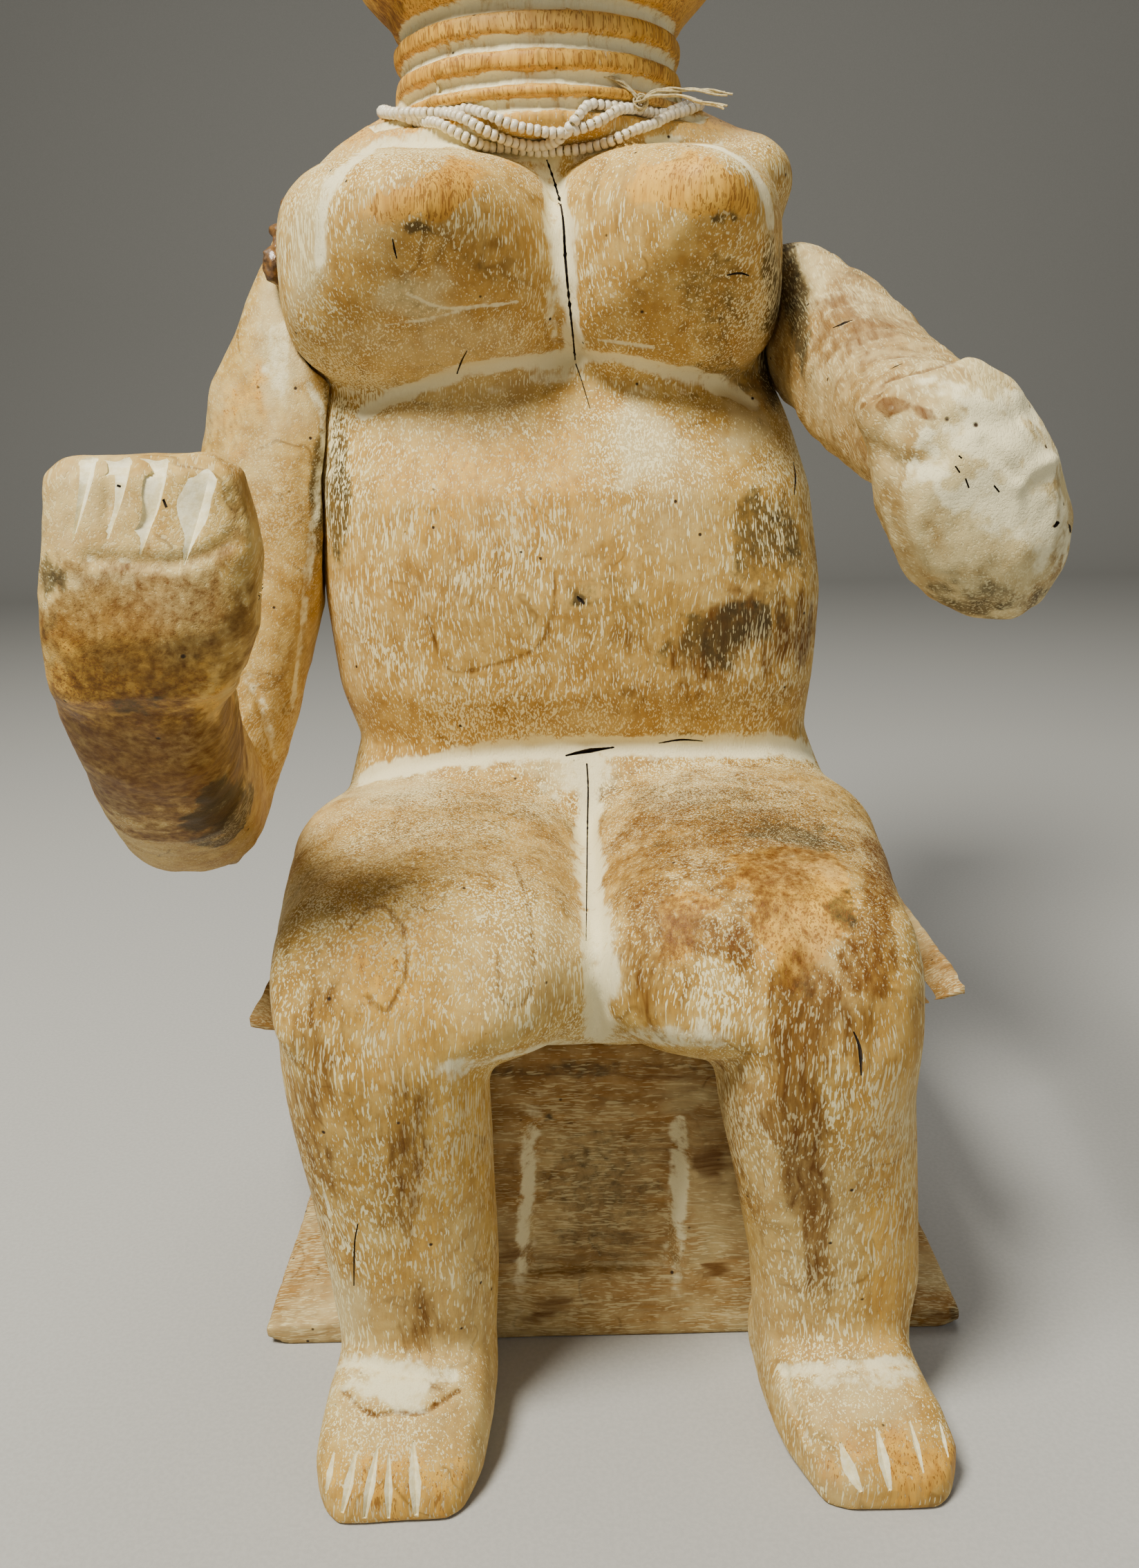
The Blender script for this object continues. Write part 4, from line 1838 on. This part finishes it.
@dataclass
class ThreadEnds:
    """The knot of the bead thread and its frayed ends.

    Attributes:
        camera: The picture's camera.
        figure: The body that they lie on.
        node: Their solid.
        knot: The knot in pixels.
        knot_turns: How often the thread goes round in the knot.
        proud: How far the knot's middle stands off the body.
        tails: Each end's pixels, with how far it comes forward and how many fibres it has.
        ply: The radius of one fibre.
        seed: Which draw of the fibres.
    """

    camera: PhotoCamera
    figure: bpy.types.Object
    node: str = "thread_ends"
    knot: Pair = (926, 148)
    knot_turns: int = 5
    proud: float = 3.2 * MM
    tails: tuple[tuple[tuple[Pair, ...], float, int], ...] = (
        (((926, 148), (914, 132), (896, 118), (868, 108), (838, 102)), 1.5 * MM, 6),
        (((928, 146), (945, 134), (968, 130), (1018, 132), (1068, 140)), 5.0 * MM, 3),
        (((928, 148), (950, 138), (980, 139), (1018, 148), (1057, 158)), 6.0 * MM, 4),
    )
    ply: float = 0.26 * MM
    seed: int = 11

    def build(self, cotton: bpy.types.Material) -> bpy.types.Object:
        """Ties the knot and lays its fibres.

        Args:
            cotton: The thread's material.

        Returns:
            The piece.
        """
        tree = BVHTree.FromObject(self.figure, bpy.context.evaluated_depsgraph_get())
        start, way = self.camera.ray(self.knot)
        place = tree.ray_cast(start, way)[0] - way * self.proud
        draw = np.random.default_rng(self.seed)
        paths = []
        for pixels, forward, fibres in self.tails:
            line = smooth_path(pixels, 9.0)
            for _ in range(fibres):
                spread = draw.normal(0, 1.0, 3)
                phase = draw.uniform(0, math.tau)
                cut = draw.uniform(0.88, 1.0)
                fibre = []
                for step, pixel in enumerate(line):
                    share = step / (len(line) - 1)
                    if share > cut:
                        break
                    origin, sight = self.camera.ray(tuple(pixel))
                    depth = (place.y - forward * share - origin.y) / sight.y
                    spot = np.array(origin + sight * depth)
                    spot += spread * (0.22 + 0.9 * max(0.0, share - 0.6)) * MM
                    twist = phase + share * 16
                    spot += np.array((0, math.cos(twist), math.sin(twist))) * 0.22 * MM
                    fibre.append(spot.tolist())
                paths.append(fibre)
        for turn in range(self.knot_turns):
            lean = draw.normal(0, 0.5, 3)
            ring = []
            for step in range(15):
                angle = math.tau * step / 13 + turn
                off = Vector((math.cos(angle), lean[0] * 0.4, math.sin(angle))) * (1.0 + 0.12 * turn) * 1.3 * MM
                off.rotate(Matrix.Rotation(0.7 * turn, 3, "Y") @ Matrix.Rotation(0.9 * turn, 3, "Z"))
                ring.append((place + off).to_tuple())
            paths.append(ring)
        piece = tube("knot_and_frayed_ends", paths, self.ply, cotton)
        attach(piece, "root")
        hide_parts(self.node)
        LOG.info("piece %s, %d fibres", piece.name, len(paths))
        return piece


@dataclass(frozen=True)
class Studio:
    """A pale floor that turns up into a wall, and soft lights.

    Attributes:
        reach: How far the floor goes to each side.
        wall: How high the wall is.
        bend: The radius of the turn.
        lights: The place, the size, the power and the colour of each light.
        target: Where they point.
        sky: The colour of the light from all around.
        sky_strength: How strong it is.
    """

    reach: float = 2.2
    wall: float = 2.4
    bend: float = 0.5
    lights: tuple[tuple[tuple[float, float, float], float, float, Colour], ...] = (
        ((-0.42, -0.50, 1.20), 0.36, 29.0, (1.0, 0.965, 0.86, 1.0)),
        ((0.85, -0.7, 0.6), 0.7, 1.6, (0.97, 0.98, 1.0, 1.0)),
        ((0.1, 0.5, 1.2), 0.8, 5.0, (1.0, 0.98, 0.92, 1.0)),
    )
    target: tuple[float, float, float] = (0.0, 0.0, 0.2)
    sky: Colour = (0.92, 0.91, 0.88, 1.0)
    sky_strength: float = 0.15

    def build(self) -> None:
        """Makes the floor, the lights and the sky."""
        bpy.ops.mesh.primitive_plane_add(size=2 * self.reach, location=(0, 0, 0))
        floor = bpy.context.active_object
        floor.name = "floor"
        bpy.ops.object.mode_set(mode="EDIT")
        bpy.ops.mesh.select_all(action="DESELECT")
        bpy.ops.object.mode_set(mode="OBJECT")
        for edge in floor.data.edges:
            edge.select = all(floor.data.vertices[index].co.y > 0 for index in edge.vertices)
        bpy.ops.object.mode_set(mode="EDIT")
        bpy.ops.mesh.select_mode(type="EDGE")
        bpy.ops.mesh.extrude_region_move(TRANSFORM_OT_translate={"value": (0, 0, self.wall)})
        bpy.ops.object.mode_set(mode="OBJECT")
        apply_modifier(floor, "BEVEL", width=self.bend, segments=16, angle_limit=math.radians(40))
        floor.data.shade_smooth()
        floor.data.materials.append(PAPER.build())
        for index, (place, size, power, colour) in enumerate(self.lights):
            data = bpy.data.lights.new("soft_light_%d" % (index + 1), "AREA")
            data.shape = "DISK"
            data.size = size
            data.energy = power
            data.color = colour[:3]
            light = bpy.data.objects.new(data.name, data)
            light.location = place
            light.rotation_euler = (Vector(self.target) - Vector(place)).to_track_quat("-Z", "Y").to_euler()
            bpy.context.scene.collection.objects.link(light)
        world = bpy.data.worlds.new("soft_sky")
        world.use_nodes = True
        background = world.node_tree.nodes["Background"]
        background.inputs["Color"].default_value = self.sky
        background.inputs["Strength"].default_value = self.sky_strength
        bpy.context.scene.world = world


def main() -> None:
    """Loads the solids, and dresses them."""
    logging.basicConfig(level=logging.INFO, format="%(message)s")
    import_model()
    camera = PhotoCamera()
    camera.add()
    Studio().build()
    groups = {"grain": grain_group(), "tide": tide_group(), "specks": speckle_group()}
    fillings = {Filling.CHALK: CHALK.build(), Filling.DARK: DARK.build()}
    woman = Figure(camera).build(fillings, BODY_WOOD.build(groups))
    right_arm(camera).build(fillings, RIGHT_ARM_WOOD.build(groups))
    left_arm(camera).build(fillings, LEFT_ARM_WOOD.build(groups))
    Stool(camera).build(fillings, STOOL_WOOD.build(groups))
    GlueLumps(camera).build(GLUE.build())
    cotton = THREAD.build()
    Beads(camera, woman).build(BEAD.build(), cotton)
    ThreadEnds(camera, woman).build(cotton)


if __name__ == "__main__":
    main()
